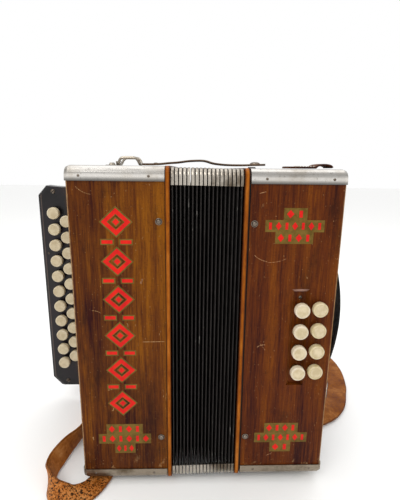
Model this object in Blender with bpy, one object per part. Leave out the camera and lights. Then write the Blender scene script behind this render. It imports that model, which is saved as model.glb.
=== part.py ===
"""Two-row button accordion with a wooden treble case, an eighteen-fold bellows and a wooden bass case.

Metres, +Z up. The instrument stands on two foot rails with its front facing -Y, the treble
end at -X and the bass end at +X, bellows closed. Pressed buttons move towards +Y, and the
bass case slides towards +X as the bellows open.
"""

import math

import bmesh
import bpy
from mathutils import Matrix, Vector

# Driving dimensions, in metres.
FIT_GAP = 0.0003
FOOT_HEIGHT = 0.006
CASE_HEIGHT = 0.295
CASE_DEPTH = 0.168
TREBLE_WIDTH = 0.0792
BASS_WIDTH = 0.0785
BASS_TOP_TRIM = 0.0012
BASS_BASE_TRIM = 0.0024
WALL = 0.007
CASE_EDGE_RADIUS = 0.0075
END_EDGE_RADIUS = 0.0025
BOARD_THICKNESS = 0.005

COVER_THICKNESS = 0.0008
COVER_LIP = 0.0122

FRAME_THICKNESS = 0.0036
FRAME_PROUD = 0.0002
TREBLE_GASKET_GAP = 0.0005
BASS_GASKET_GAP = 0.0015
BELLOWS_LENGTH = 0.0600
BELLOWS_GROUPS = 3
BELLOWS_INSET = 0.0008
FOLD_DEPTH = 0.020

BUTTON_DIAMETER = 0.0132
BUTTON_THICKNESS = 0.0048
BUTTON_RIM = 0.0007
STEM_DIAMETER = 0.0045
STEM_HOLE_DIAMETER = 0.0085
AXLE_DIAMETER = 0.002
EYE_DIAMETER = 0.0068
EYE_CLEARANCE = 0.0003

OUTER_ROW_COUNT = 11
TREBLE_PITCH = 0.0185
TREBLE_TOP_BUTTON_Z = 0.2484
OUTER_ROW_REACH = 0.0540
INNER_ROW_REACH = 0.0402
TREBLE_HEAD_GAP = 0.0042
CHAMBER_DEPTH = 0.0260
TREBLE_AXLE_INSET = 0.0160
OUTER_PALLET_REACH = 0.102
INNER_PALLET_REACH = 0.077
LEVER_THICKNESS = 0.003
ARM_THICKNESS = 0.0024
PALLET_LENGTH = 0.016
PALLET_WIDTH = 0.0115
PALLET_THICKNESS = 0.004
VALVE_HOLE = (0.010, 0.007)
HEAD_SIDES = 18
EYE_SIDES = 10
STEM_SIDES = 8

FINGERBOARD_SETBACK = 0.1235
FINGERBOARD_REACH = 0.0735
FINGERBOARD_TOP = 0.2788
FINGERBOARD_BASE = 0.0285
FINGERBOARD_DEPTH = 0.018
FINGERBOARD_WALL = 0.004
FINGERBOARD_CORNER = (0.0095, 0.0108)
FINGERBOARD_EDGE_RADIUS = 0.0045
FINGERBOARD_SAG = 0.0018
FINGERBOARD_SAG_STEPS = 6
FINGERBOARD_TONGUE = 0.004

GRILLE_THICKNESS = 0.004
GRILLE_INSET = 0.001
GRILLE_SLOT = (0.0045, 0.026)

BASS_ROWS = 4
BASS_PITCH = 0.0197
BASS_TOP_BUTTON_Z = 0.1812
BASS_BUTTON_DIAMETER = 0.0128
BASS_COLUMNS_FROM_END = (0.0312, 0.0157)
BASS_COLUMN_RISE = (0.0, 0.0010)
BASS_HEAD_GAP = 0.0033
BASS_STEM_DIAMETER = 0.0034
BASS_STEM_HOLE_DIAMETER = 0.0070
BASS_AXLE_FROM_END = 0.0515
BASS_AXLE_DEPTH = 0.0108
BASS_ACTION_DEPTH = 0.0145
BASS_LEVER_OFFSET = 0.0045
BASS_PALLET_REACH = 0.0125
BASS_PALLET_SIZE = (0.012, 0.0032, 0.008)
SLOT_WIDTH = 0.0113
SLOT_TOP_MARGIN = 0.0145
SLOT_BASE_MARGIN = 0.0155
SLOT_DEPTH = 0.0032
SLOT_BEVELS = (0.0025, 0.0018, 0.0033)

AIR_BUTTON_Z = 0.165
AIR_BUTTON_FROM_END = 0.022
AIR_BUTTON_DIAMETER = 0.011
AIR_VALVE_DIAMETER = 0.022
AIR_STEM_HOLE_DIAMETER = 0.012

FOOT_RAIL_SIZE = (0.012, 0.132)
TREBLE_FOOT_FROM_MOUTH = 0.018
BASS_FOOT_FROM_END = 0.030

REED_BLOCK_HEIGHT = 0.236
REED_CELLS = 11

STRAP_THICKNESS = 0.003
SHOULDER_STRAP_WIDTH = 0.0215
BASS_STRAP_WIDTH = 0.025
HAND_STRAP_WIDTH = 0.060
HAND_STRAP_BULGE = 0.027
HAND_STRAP_SPAN = (0.052, 0.245)
SHOULDER_STRAP_FROM_MOUTH = (0.0260, 0.0580)
BASS_STRAP_FROM_END = 0.050
STRAP_SEAT_GAP = 0.0043
SHOULDER_STRAP_FLOOR_GAP = 0.0011
BASS_STRAP_FLOOR_GAP = 0.0010
LUG_SIZE = (0.028, 0.0012, 0.018)
LUG_HEIGHTS = (0.262, 0.030)
TAB_FROM_END = (0.0440, 0.0055)
TAB_SIDES = (-0.0630, -0.0410)
TAB_THICKNESS = 0.0018
TAB_KEEPER_LENGTH = 0.0145
TAB_KEEPER_RISE = 0.0042

WIRE_DIAMETER = 0.0026
WIRE_RING_SIZE = (0.0207, 0.022)
WIRE_RING_RISE = 0.0062
WIRE_HINGE_FROM_END = 0.0290
WIRE_RING_CORNER = 0.003
WIRE_SIDES = 8
HOOK_THICKNESS = 0.0008
HOOK_LENGTH = 0.011
HOOK_LIP = 0.0016
HOOK_WIDTH = 0.016
HOOK_SCREW_PLACE = 0.0062
HOOK_SCREW_HEIGHT = 0.0030
HOOK_SCREW_DIAMETERS = (0.0072, 0.0045)
BELLOWS_STRAP_WIDTH = 0.016
BELLOWS_STRAP_THICKNESS = 0.0018
BELLOWS_STRAP_LENGTH = 0.1265
BELLOWS_STRAP_LIFT = 0.0008
BELLOWS_STRAP_BULGE = 0.0040
STUD_FROM_HINGE = 0.113
STUD_HEIGHT = 0.0012
STUD_DIAMETERS = (0.009, 0.007)

# Places worked out from the driving dimensions.
CLOSED_WIDTH = (
    TREBLE_WIDTH + TREBLE_GASKET_GAP + FRAME_THICKNESS + FIT_GAP + BELLOWS_LENGTH + FIT_GAP
    + FRAME_THICKNESS + BASS_GASKET_GAP + BASS_WIDTH
)
TREBLE_END = -CLOSED_WIDTH / 2
TREBLE_MOUTH = TREBLE_END + TREBLE_WIDTH
BASS_END = CLOSED_WIDTH / 2
BASS_MOUTH = BASS_END - BASS_WIDTH
BELLOWS_START = TREBLE_MOUTH + TREBLE_GASKET_GAP + FRAME_THICKNESS + FIT_GAP
FRONT = -CASE_DEPTH / 2
BACK = CASE_DEPTH / 2
COVER_PROUD = FIT_GAP + COVER_THICKNESS
TREBLE_BASE = FOOT_HEIGHT + COVER_PROUD
TREBLE_TOP = FOOT_HEIGHT + CASE_HEIGHT - COVER_PROUD
BASS_BASE = TREBLE_BASE + BASS_BASE_TRIM
BASS_TOP = TREBLE_TOP - BASS_TOP_TRIM
FINGERBOARD_FRONT = FRONT + FINGERBOARD_SETBACK
FINGERBOARD_BACK = FINGERBOARD_FRONT + FINGERBOARD_DEPTH
FINGERBOARD_EDGE = TREBLE_END - FINGERBOARD_REACH
BOARD_FACE = TREBLE_END + CHAMBER_DEPTH
AXLE_X = TREBLE_END + TREBLE_AXLE_INSET
AXLE_Y = FINGERBOARD_FRONT + 0.6 * FINGERBOARD_DEPTH
BASS_AXLE_X = BASS_END - BASS_AXLE_FROM_END
BASS_AXLE_Y = FRONT + BASS_AXLE_DEPTH
BASS_BOARD_FACE = FRONT + WALL + BASS_ACTION_DEPTH

# Colours: red, green, blue, roughness, metallic.
FINISHES = {
    "treble_wood": (0.30, 0.15, 0.06, 0.45, 0.0),
    "bass_wood": (0.20, 0.085, 0.04, 0.45, 0.0),
    "nickel": (0.62, 0.60, 0.56, 0.25, 1.0),
    "tan_edging": (0.50, 0.22, 0.06, 0.55, 0.0),
    "bellows_cloth": (0.02, 0.02, 0.022, 0.6, 0.0),
    "black_lacquer": (0.015, 0.014, 0.014, 0.25, 0.0),
    "cream_plastic": (0.80, 0.74, 0.58, 0.35, 0.0),
    "brown_leather": (0.36, 0.16, 0.06, 0.6, 0.0),
    "black_leather": (0.02, 0.018, 0.018, 0.55, 0.0),
    "steel": (0.50, 0.49, 0.47, 0.4, 1.0),
    "reed_wood": (0.55, 0.38, 0.20, 0.6, 0.0),
}


def clear_scene():
    for old in list(bpy.data.objects):
        bpy.data.objects.remove(old, do_unlink=True)


def make_materials():
    made = {}
    for name, (red, green, blue, roughness, metallic) in FINISHES.items():
        material = bpy.data.materials.new(name)
        material.use_nodes = True
        shader = material.node_tree.nodes["Principled BSDF"]
        shader.inputs["Base Color"].default_value = (red, green, blue, 1.0)
        shader.inputs["Roughness"].default_value = roughness
        shader.inputs["Metallic"].default_value = metallic
        made[name] = material
    return made


def add_object(name, mesh, finish=None, location=(0, 0, 0)):
    part = bpy.data.objects.new(name, mesh)
    bpy.context.scene.collection.objects.link(part)
    part.location = location
    if finish:
        if not mesh.materials:
            mesh.materials.append(MATERIALS[finish])
        part.parent = STAND
    return part


def mesh_from(name, bm):
    bmesh.ops.recalc_face_normals(bm, faces=bm.faces)
    mesh = bpy.data.meshes.new(name)
    bm.to_mesh(mesh)
    bm.free()
    return mesh


def add_box(bm, low, high):
    size = [b - a for a, b in zip(low, high)]
    middle = [(a + b) / 2 for a, b in zip(low, high)]
    place = Matrix.Translation(middle) @ Matrix.Diagonal((*size, 1.0))
    bmesh.ops.create_cube(bm, size=1.0, matrix=place)


def box_mesh(name, low, high):
    bm = bmesh.new()
    add_box(bm, low, high)
    return mesh_from(name, bm)


def add_rod(bm, start, end, diameter, sides=16, end_diameter=None):
    """A round rod, or a cone where end_diameter differs, between two points."""
    start, end = Vector(start), Vector(end)
    along = end - start
    turn = along.to_track_quat("Z", "Y").to_matrix().to_4x4()
    place = Matrix.Translation((start + end) / 2) @ turn
    last = diameter if end_diameter is None else end_diameter
    bmesh.ops.create_cone(
        bm, cap_ends=True, segments=sides, radius1=diameter / 2, radius2=last / 2,
        depth=along.length, matrix=place,
    )


def add_prism(bm, outline, axis, low, high):
    """Extrudes a closed outline along X, Y or Z. Its points are in the other two axes, in order."""
    spots = {"X": lambda a, b, c: (c, a, b), "Y": lambda a, b, c: (a, c, b), "Z": lambda a, b, c: (a, b, c)}
    place = spots[axis]
    first = [bm.verts.new(place(a, b, low)) for a, b in outline]
    last = [bm.verts.new(place(a, b, high)) for a, b in outline]
    bm.faces.new(first)
    bm.faces.new(last)
    for i in range(len(outline)):
        j = (i + 1) % len(outline)
        bm.faces.new((first[i], first[j], last[j], last[i]))


def prism_mesh(name, outline, axis, low, high):
    bm = bmesh.new()
    add_prism(bm, outline, axis, low, high)
    return mesh_from(name, bm)


def rounded_rectangle(low, high, radius, steps=4):
    """Points round a rectangle whose corners are arcs."""
    points = []
    corners = [(high[0], high[1], 0), (low[0], high[1], 90), (low[0], low[1], 180), (high[0], low[1], 270)]
    for x, y, turn in corners:
        centre_x = x - radius if x == high[0] else x + radius
        centre_y = y - radius if y == high[1] else y + radius
        for step in range(steps + 1):
            angle = math.radians(turn + 90 * step / steps)
            points.append((centre_x + radius * math.cos(angle), centre_y + radius * math.sin(angle)))
    return points


def smooth_shade(part, angle=35):
    part.data.shade_smooth()
    part.data.set_sharp_from_angle(angle=math.radians(angle))


def add_cutter(name, mesh):
    cutter = add_object(name, mesh)
    cutter.hide_render = True
    cutter.display_type = "WIRE"
    cutter.parent = STAND
    return cutter


def cut(part, cutter, operation="DIFFERENCE"):
    modifier = part.modifiers.new(cutter.name, "BOOLEAN")
    modifier.operation = operation
    modifier.solver = "EXACT"
    modifier.object = cutter


def fused_mesh(name, pieces):
    """One closed mesh from overlapping closed pieces."""
    base = add_object(name + "_base", pieces[0])
    helpers = [base]
    for i, piece in enumerate(pieces[1:]):
        helper = add_object(f"{name}_piece_{i}", piece)
        helpers.append(helper)
        cut(base, helper, "UNION")
    bpy.context.view_layer.update()
    graph = bpy.context.evaluated_depsgraph_get()
    made = bpy.data.meshes.new_from_object(base.evaluated_get(graph))
    made.name = name
    for helper in helpers:
        bpy.data.objects.remove(helper, do_unlink=True)
    return made


def smooth_path(points, steps):
    """Catmull-Rom curve through points that may carry more than three numbers each."""
    padded = [points[0], *points, points[-1]]
    made = []
    for i in range(1, len(padded) - 2):
        before, here, after, beyond = (Vector(p) for p in padded[i - 1:i + 3])
        for step in range(steps):
            t = step / steps
            made.append(
                here + 0.5 * t * (after - before)
                + 0.5 * t * t * (2 * before - 5 * here + 4 * after - beyond)
                + 0.5 * t ** 3 * (3 * here - before - 3 * after + beyond)
            )
    made.append(Vector(points[-1]))
    return made


def ribbon_mesh(name, route, width, thickness, steps=3):
    """A flat strap. Each route point is its middle (x, y, z) and the rough direction of its width."""
    path = smooth_path(route, steps)
    bm = bmesh.new()
    rings = []
    for i, point in enumerate(path):
        ahead = Vector(path[min(i + 1, len(path) - 1)][:3]) - Vector(path[max(i - 1, 0)][:3])
        run = ahead.normalized()
        side = Vector(point[3:])
        side = (side - run * side.dot(run)).normalized()
        normal = run.cross(side)
        centre = Vector(point[:3])
        rings.append([
            bm.verts.new(centre + side * (a * width / 2) + normal * (b * thickness / 2))
            for a, b in ((-1, -1), (1, -1), (1, 1), (-1, 1))
        ])
    close_loft(bm, rings)
    return mesh_from(name, bm)


def close_loft(bm, rings):
    """Joins a row of point rings into one closed skin with flat ends."""
    for one, two in zip(rings, rings[1:]):
        for k in range(len(one)):
            following = (k + 1) % len(one)
            bm.faces.new((one[k], one[following], two[following], two[k]))
    bm.faces.new(rings[0])
    bm.faces.new(rings[-1])


def arch_outline(start, end, bulge, thickness, count=12):
    """Outline of a bowed band between two heights, standing off by bulge at its middle."""
    outer, inner = [], []
    for i in range(count + 1):
        share = i / count
        height = start + (end - start) * share
        rise = bulge * math.sin(math.pi * share) ** 0.75
        outer.append((rise + thickness, height))
        inner.append((rise, height))
    return outer + inner[::-1]


# The two cases and their metal covers.


def case_block(name, left, right, base, top, outer_end, grow=0.0):
    """A case's outer form: rounded along X, with the outer end's edges eased."""
    outline = rounded_rectangle(
        (FRONT - grow, base - grow), (BACK + grow, top + grow), CASE_EDGE_RADIUS + grow
    )
    bm = bmesh.new()
    low, high = (left - grow, right) if outer_end == "left" else (left, right + grow)
    add_prism(bm, outline, "X", low, high)
    end_x = low if outer_end == "left" else high
    edges = [
        edge for edge in bm.edges
        if all(abs(vertex.co.x - end_x) < FIT_GAP / 10 for vertex in edge.verts)
    ]
    bmesh.ops.bevel(
        bm, geom=edges, offset=END_EDGE_RADIUS + grow, segments=2, profile=0.5, affect="EDGES"
    )
    return mesh_from(name, bm)


def make_cover(name, left, right, base, top, outer_end, low, high):
    """A thin metal cover over the case's top or bottom, with its lip between heights low and high."""
    cover = add_object(
        name, case_block(name, left, right, base, top, outer_end, COVER_PROUD), "nickel"
    )
    reach = CASE_DEPTH
    band = add_cutter(
        name + "_band", box_mesh(name + "_band", (left - reach, -reach, low), (right + reach, reach, high))
    )
    cut(cover, band, "INTERSECT")
    inner_left = left if outer_end == "left" else left - reach
    inner_right = right + reach if outer_end == "left" else right
    core_mesh = case_block(name + "_core", inner_left, inner_right, base, top, outer_end, FIT_GAP)
    cut(cover, add_cutter(name + "_core", core_mesh))
    smooth_shade(cover)
    return cover


def make_treble_case():
    case = add_object(
        "treble_case",
        case_block("treble_case", TREBLE_END, TREBLE_MOUTH, TREBLE_BASE, TREBLE_TOP, "left"),
        "treble_wood",
    )
    low_z, high_z = TREBLE_BASE + WALL, TREBLE_TOP - WALL
    bm = bmesh.new()
    add_box(
        bm,
        (BOARD_FACE + BOARD_THICKNESS, FRONT + WALL, low_z),
        (TREBLE_MOUTH + WALL, BACK - WALL, high_z),
    )
    add_box(
        bm,
        (TREBLE_END - WALL, FRONT + WALL, low_z),
        (BOARD_FACE, FINGERBOARD_BACK + FIT_GAP, high_z),
    )
    cut(case, add_cutter("treble_hollows", mesh_from("treble_hollows", bm)))
    bm = bmesh.new()
    for _, height, _, pallet_reach in treble_keys():
        middle = AXLE_Y - pallet_reach
        add_box(
            bm,
            (BOARD_FACE - WALL, middle - VALVE_HOLE[0] / 2, height - VALVE_HOLE[1] / 2),
            (BOARD_FACE + WALL + BOARD_THICKNESS, middle + VALVE_HOLE[0] / 2, height + VALVE_HOLE[1] / 2),
        )
    cut(case, add_cutter("treble_valve_holes", mesh_from("treble_valve_holes", bm)))
    smooth_shade(case)
    return case


def make_bass_case():
    case = add_object(
        "bass_case",
        case_block("bass_case", BASS_MOUTH, BASS_END, BASS_BASE, BASS_TOP, "right"),
        "bass_wood",
    )
    low_z, high_z = BASS_BASE + WALL, BASS_TOP - WALL
    bm = bmesh.new()
    add_box(
        bm,
        (BASS_MOUTH - WALL, BASS_BOARD_FACE + BOARD_THICKNESS, low_z),
        (BASS_END + WALL, BACK - WALL, high_z),
    )
    add_box(bm, (BASS_MOUTH + WALL, FRONT + WALL, low_z), (BASS_END + WALL, BASS_BOARD_FACE, high_z))
    cut(case, add_cutter("bass_hollows", mesh_from("bass_hollows", bm)))
    recess = box_mesh(
        "end_recess",
        (BASS_END - GRILLE_INSET - GRILLE_THICKNESS - FIT_GAP, FRONT + WALL, low_z),
        (BASS_END + WALL, BACK - WALL, high_z),
    )
    cut(case, add_cutter("end_recess", recess))

    column_x = BASS_END - BASS_COLUMNS_FROM_END[0]
    floor = (column_x - SLOT_WIDTH / 2, column_x + SLOT_WIDTH / 2)
    lowest = BASS_TOP_BUTTON_Z - (BASS_ROWS - 1) * BASS_PITCH
    bottom, top = lowest - SLOT_BASE_MARGIN, BASS_TOP_BUTTON_Z + SLOT_TOP_MARGIN
    outer = (
        (floor[0] - SLOT_BEVELS[0], bottom), (floor[1] + SLOT_BEVELS[1], bottom),
        (floor[1] + SLOT_BEVELS[1], top + SLOT_BEVELS[2]),
        (floor[0] - SLOT_BEVELS[0], top + SLOT_BEVELS[2]),
    )
    inner = ((floor[0], bottom), (floor[1], bottom), (floor[1], top), (floor[0], top))
    bm = bmesh.new()
    mouth = [bm.verts.new((x, FRONT, z)) for x, z in outer]
    seat = [bm.verts.new((x, FRONT + SLOT_DEPTH, z)) for x, z in inner]
    lifted = [bm.verts.new((vertex.co.x, FRONT - SLOT_DEPTH, vertex.co.z)) for vertex in mouth]
    bm.faces.new(seat)
    bm.faces.new(lifted)
    for i in range(4):
        j = (i + 1) % 4
        bm.faces.new((mouth[i], mouth[j], seat[j], seat[i]))
        bm.faces.new((lifted[i], lifted[j], mouth[j], mouth[i]))
    cut(case, add_cutter("button_slot", mesh_from("button_slot", bm)))

    bm = bmesh.new()
    for x, height, offset, _ in bass_keys():
        outside, inside = (x, FRONT - WALL, height), (x, FRONT + 1.5 * WALL, height)
        add_rod(bm, outside, inside, BASS_STEM_HOLE_DIAMETER, 12)
        hole_x, hole_z = BASS_AXLE_X - BASS_PALLET_REACH, height + offset
        half_x, half_z = BASS_PALLET_SIZE[0] / 3, BASS_PALLET_SIZE[2] / 3
        add_box(
            bm,
            (hole_x - half_x, BASS_BOARD_FACE - WALL / 3, hole_z - half_z),
            (hole_x + half_x, BASS_BOARD_FACE + 2 * BOARD_THICKNESS, hole_z + half_z),
        )
    air_x = BASS_END - AIR_BUTTON_FROM_END
    inside, outside = (air_x, BACK - 2 * WALL, AIR_BUTTON_Z), (air_x, BACK + WALL, AIR_BUTTON_Z)
    add_rod(bm, inside, outside, AIR_STEM_HOLE_DIAMETER, 16)
    cut(case, add_cutter("bass_holes", mesh_from("bass_holes", bm)))
    smooth_shade(case)
    return case


def make_covers():
    for side, left, right, base, top in (
        ("treble", TREBLE_END, TREBLE_MOUTH, TREBLE_BASE, TREBLE_TOP),
        ("bass", BASS_MOUTH, BASS_END, BASS_BASE, BASS_TOP),
    ):
        outer_end = "left" if side == "treble" else "right"
        make_cover(
            f"{side}_top_cover", left, right, base, top, outer_end,
            top + COVER_PROUD - COVER_LIP, top + COVER_LIP,
        )
        make_cover(
            f"{side}_bottom_cover", left, right, base, top, outer_end,
            base - COVER_LIP, base - COVER_PROUD + COVER_LIP,
        )


# Bellows.


def make_bellows():
    frame_grow = COVER_PROUD + FRAME_PROUD
    hollow = FOLD_DEPTH + BELLOWS_INSET
    places = (
        ("treble_bellows_frame", TREBLE_MOUTH + TREBLE_GASKET_GAP, TREBLE_BASE, TREBLE_TOP),
        ("bass_bellows_frame", BASS_MOUTH - BASS_GASKET_GAP - FRAME_THICKNESS, BASS_BASE, BASS_TOP),
    )
    for name, left, base, top in places:
        make_ring(
            name, "tan_edging", left, left + FRAME_THICKNESS,
            (FRONT - frame_grow, base - frame_grow), (BACK + frame_grow, top + frame_grow),
            hollow + frame_grow,
        )
    pitch = BELLOWS_LENGTH / BELLOWS_GROUPS
    for group in range(BELLOWS_GROUPS):
        left = BELLOWS_START + group * pitch
        share = (group + 0.5) / BELLOWS_GROUPS
        base = TREBLE_BASE + share * (BASS_BASE - TREBLE_BASE) + BELLOWS_INSET - COVER_PROUD
        top = TREBLE_TOP + share * (BASS_TOP - TREBLE_TOP) - BELLOWS_INSET + COVER_PROUD
        make_ring(
            f"bellows_folds_{group + 1}", "bellows_cloth", left + FIT_GAP / 2, left + pitch - FIT_GAP / 2,
            (FRONT - COVER_PROUD + BELLOWS_INSET, base), (BACK + COVER_PROUD - BELLOWS_INSET, top),
            FOLD_DEPTH,
        )


def make_ring(name, finish, left, right, low, high, wall):
    outer = rounded_rectangle(low, high, CASE_EDGE_RADIUS)
    ring = add_object(name, prism_mesh(name, outer, "X", left, right), finish)
    hole = box_mesh(
        name + "_opening",
        (left - WALL, low[0] + wall, low[1] + wall), (right + WALL, high[0] - wall, high[1] - wall),
    )
    cut(ring, add_cutter(name + "_opening", hole))
    smooth_shade(ring)


# Treble action.


def treble_keys():
    """(button's reach from the case, height, name, pallet's reach from the axle) of each key, top first."""
    keys = []
    for i in range(2 * OUTER_ROW_COUNT - 1):
        outer = i % 2 == 0
        row = "outer" if outer else "inner"
        keys.append((
            OUTER_ROW_REACH if outer else INNER_ROW_REACH,
            TREBLE_TOP_BUTTON_Z - i * TREBLE_PITCH / 2,
            f"treble_key_{row}_{i // 2 + 1:02d}",
            OUTER_PALLET_REACH if outer else INNER_PALLET_REACH,
        ))
    return keys


def eye_piece(name):
    bm = bmesh.new()
    half = LEVER_THICKNESS / 2
    add_rod(bm, (0, 0, -half), (0, 0, half), EYE_DIAMETER, EYE_SIDES)
    return mesh_from(name, bm)


def button_piece(name, x, face, diameter):
    """A flat-topped button head whose face looks along -Y, with an eased rim."""
    bm = bmesh.new()
    back = face + BUTTON_THICKNESS
    add_rod(bm, (x, back, 0), (x, face, 0), diameter, HEAD_SIDES)
    near = BUTTON_RIM / 10
    front = [edge for edge in bm.edges if all(abs(vertex.co.y - face) < near for vertex in edge.verts)]
    bmesh.ops.bevel(bm, geom=front, offset=BUTTON_RIM, segments=1, affect="EDGES")
    return mesh_from(name, bm)


def bored(name, mesh):
    """The mesh with the axle's hole through it, along Z at the origin."""
    part = add_object(name + "_solid", mesh)
    bm = bmesh.new()
    add_rod(bm, (0, 0, -WALL), (0, 0, WALL), AXLE_DIAMETER + 2 * EYE_CLEARANCE, EYE_SIDES)
    drill = add_object(name + "_drill", mesh_from(name + "_drill", bm))
    cut(part, drill)
    bpy.context.view_layer.update()
    made = bpy.data.meshes.new_from_object(part.evaluated_get(bpy.context.evaluated_depsgraph_get()))
    made.name = name
    for helper in (part, drill):
        bpy.data.objects.remove(helper, do_unlink=True)
    return made


def treble_key_mesh(name, reach, pallet_reach):
    """A bell crank about Z at its origin: button and lever towards -X, pallet arm towards -Y."""
    half = LEVER_THICKNESS / 2
    button_x = TREBLE_END - reach - AXLE_X
    face = FINGERBOARD_FRONT - TREBLE_HEAD_GAP - BUTTON_THICKNESS - AXLE_Y
    pallet_back = BOARD_FACE - FIT_GAP - AXLE_X
    pallet_front = pallet_back - PALLET_THICKNESS
    stem = bmesh.new()
    add_rod(
        stem, (button_x, face + BUTTON_THICKNESS / 2, 0), (button_x, half, 0), STEM_DIAMETER, STEM_SIDES
    )
    pieces = [
        eye_piece(name + "_eye"),
        box_mesh(
            name + "_lever",
            (button_x - STEM_DIAMETER / 2, -half, -half), (-EYE_DIAMETER / 4, half, half),
        ),
        button_piece(name + "_head", button_x, face, BUTTON_DIAMETER),
        mesh_from(name + "_stem", stem),
        box_mesh(
            name + "_arm",
            (-ARM_THICKNESS / 2, -pallet_reach - half, -0.8 * half),
            (ARM_THICKNESS / 2, -EYE_DIAMETER / 4, 0.8 * half),
        ),
        box_mesh(
            name + "_foot", (-ARM_THICKNESS / 2, -pallet_reach - half, -0.9 * half),
            (pallet_front + PALLET_THICKNESS / 4, -pallet_reach + half, 0.9 * half),
        ),
        box_mesh(
            name + "_pallet",
            (pallet_front, -pallet_reach - PALLET_LENGTH / 2, -PALLET_WIDTH / 2),
            (pallet_back, -pallet_reach + PALLET_LENGTH / 2, PALLET_WIDTH / 2),
        ),
    ]
    made = bored(name, fused_mesh(name + "_whole", pieces))
    made.materials.clear()
    made.materials.append(MATERIALS["cream_plastic"])
    return made


def make_treble_action():
    shared = {}
    for reach, height, name, pallet_reach in treble_keys():
        if reach not in shared:
            shared[reach] = treble_key_mesh(name, reach, pallet_reach)
        key = add_object(name, shared[reach], "cream_plastic", (AXLE_X, AXLE_Y, height))
        smooth_shade(key)
    bm = bmesh.new()
    low, high = TREBLE_BASE + WALL + FIT_GAP, TREBLE_TOP - WALL - FIT_GAP
    add_rod(bm, (AXLE_X, AXLE_Y, low), (AXLE_X, AXLE_Y, high), AXLE_DIAMETER, 12)
    smooth_shade(add_object("treble_axle", mesh_from("treble_axle", bm), "steel"))


def make_fingerboard():
    inner_x = TREBLE_END + FINGERBOARD_TONGUE
    cut_x, cut_z = FINGERBOARD_CORNER
    edge, base, top = FINGERBOARD_EDGE, FINGERBOARD_BASE, FINGERBOARD_TOP
    outline = [(inner_x, top - FINGERBOARD_WALL / 2), (TREBLE_END, top + FINGERBOARD_WALL / 4)]
    sag, count = FINGERBOARD_SAG, FINGERBOARD_SAG_STEPS
    for i in range(count + 1):
        share = i / count
        x = TREBLE_END + (edge + cut_x - TREBLE_END) * (0.15 + 0.85 * share)
        outline.append((x, top - sag * math.sin(math.pi * share)))
    outline += [(edge, top - cut_z), (edge, base + cut_z), (edge + cut_x, base)]
    for i in range(count + 1):
        share = i / count
        x = edge + cut_x + (TREBLE_END - edge - cut_x) * (0.55 + 0.45 * share)
        outline.append((x, base - sag * 2 * share ** 2))
    outline.append((inner_x, base + FINGERBOARD_WALL / 2))
    bm = bmesh.new()
    add_prism(bm, outline, "Y", FINGERBOARD_FRONT, FINGERBOARD_BACK)
    face_limit, edge_limit = FINGERBOARD_FRONT + FIT_GAP / 10, edge + cut_x + FIT_GAP
    outer_edges = [
        e for e in bm.edges
        if all(v.co.y < face_limit and v.co.x < edge_limit for v in e.verts)
    ]
    radius = FINGERBOARD_EDGE_RADIUS
    bmesh.ops.bevel(bm, geom=outer_edges, offset=radius, segments=2, profile=0.5, affect="EDGES")
    board = add_object("fingerboard", mesh_from("fingerboard", bm), "black_lacquer")

    wall = FINGERBOARD_WALL
    hollow = box_mesh(
        "fingerboard_hollow",
        (edge + 1.5 * wall, FINGERBOARD_FRONT + wall, base + cut_z),
        (inner_x + wall, FINGERBOARD_BACK + wall, top - cut_z),
    )
    cut(board, add_cutter("fingerboard_hollow", hollow))
    bm = bmesh.new()
    for reach, height, _, _ in treble_keys():
        x = TREBLE_END - reach
        add_rod(
            bm, (x, FINGERBOARD_FRONT - wall, height), (x, FINGERBOARD_FRONT + 1.5 * wall, height),
            STEM_HOLE_DIAMETER, 10,
        )
    cut(board, add_cutter("stem_holes", mesh_from("stem_holes", bm)))
    smooth_shade(board)


def make_grille():
    left = TREBLE_END + GRILLE_INSET
    low = (FRONT + WALL + FIT_GAP, TREBLE_BASE + WALL + FIT_GAP)
    high = (FINGERBOARD_FRONT - FIT_GAP, TREBLE_TOP - WALL - FIT_GAP)
    grille = add_object(
        "treble_grille",
        box_mesh("treble_grille", (left, low[0], low[1]), (left + GRILLE_THICKNESS, high[0], high[1])),
        "treble_wood",
    )
    bm = bmesh.new()
    columns, rows = 3, 7
    wide, tall = GRILLE_SLOT
    for column in range(columns):
        for row in range(rows):
            y = low[0] + (high[0] - low[0]) * (column + 0.5) / columns
            z = low[1] + (high[1] - low[1]) * (row + 0.5) / rows
            corner = (left - WALL, y - wide / 2, z - tall / 2)
            add_box(bm, corner, (left + 2 * WALL, y + wide / 2, z + tall / 2))
    cut(grille, add_cutter("grille_slots", mesh_from("grille_slots", bm)))


def reed_block(name, low, high, cells, along_y):
    """A comb of reed cells: a wooden block with a row of slots cut into each long side."""
    block = add_object(name, box_mesh(name, low, high), "reed_wood")
    bm = bmesh.new()
    pitch = (high[2] - low[2]) / cells
    rib = 0.3
    depth_axis = 1 if along_y else 0
    reach = (high[depth_axis] - low[depth_axis]) * 0.38
    for i in range(cells):
        bottom = low[2] + pitch * (i + rib / 2)
        top = low[2] + pitch * (i + 1 - rib / 2)
        for side in (0, 1):
            start, end = list(low), list(high)
            start[2], end[2] = bottom, top
            inset = WALL / 2
            start[1 - depth_axis] += inset
            end[1 - depth_axis] -= inset
            if side == 0:
                start[depth_axis], end[depth_axis] = low[depth_axis] - WALL, low[depth_axis] + reach
            else:
                start[depth_axis], end[depth_axis] = high[depth_axis] - reach, high[depth_axis] + WALL
            add_box(bm, start, end)
    cut(block, add_cutter(name + "_cells", mesh_from(name + "_cells", bm)))


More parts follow.
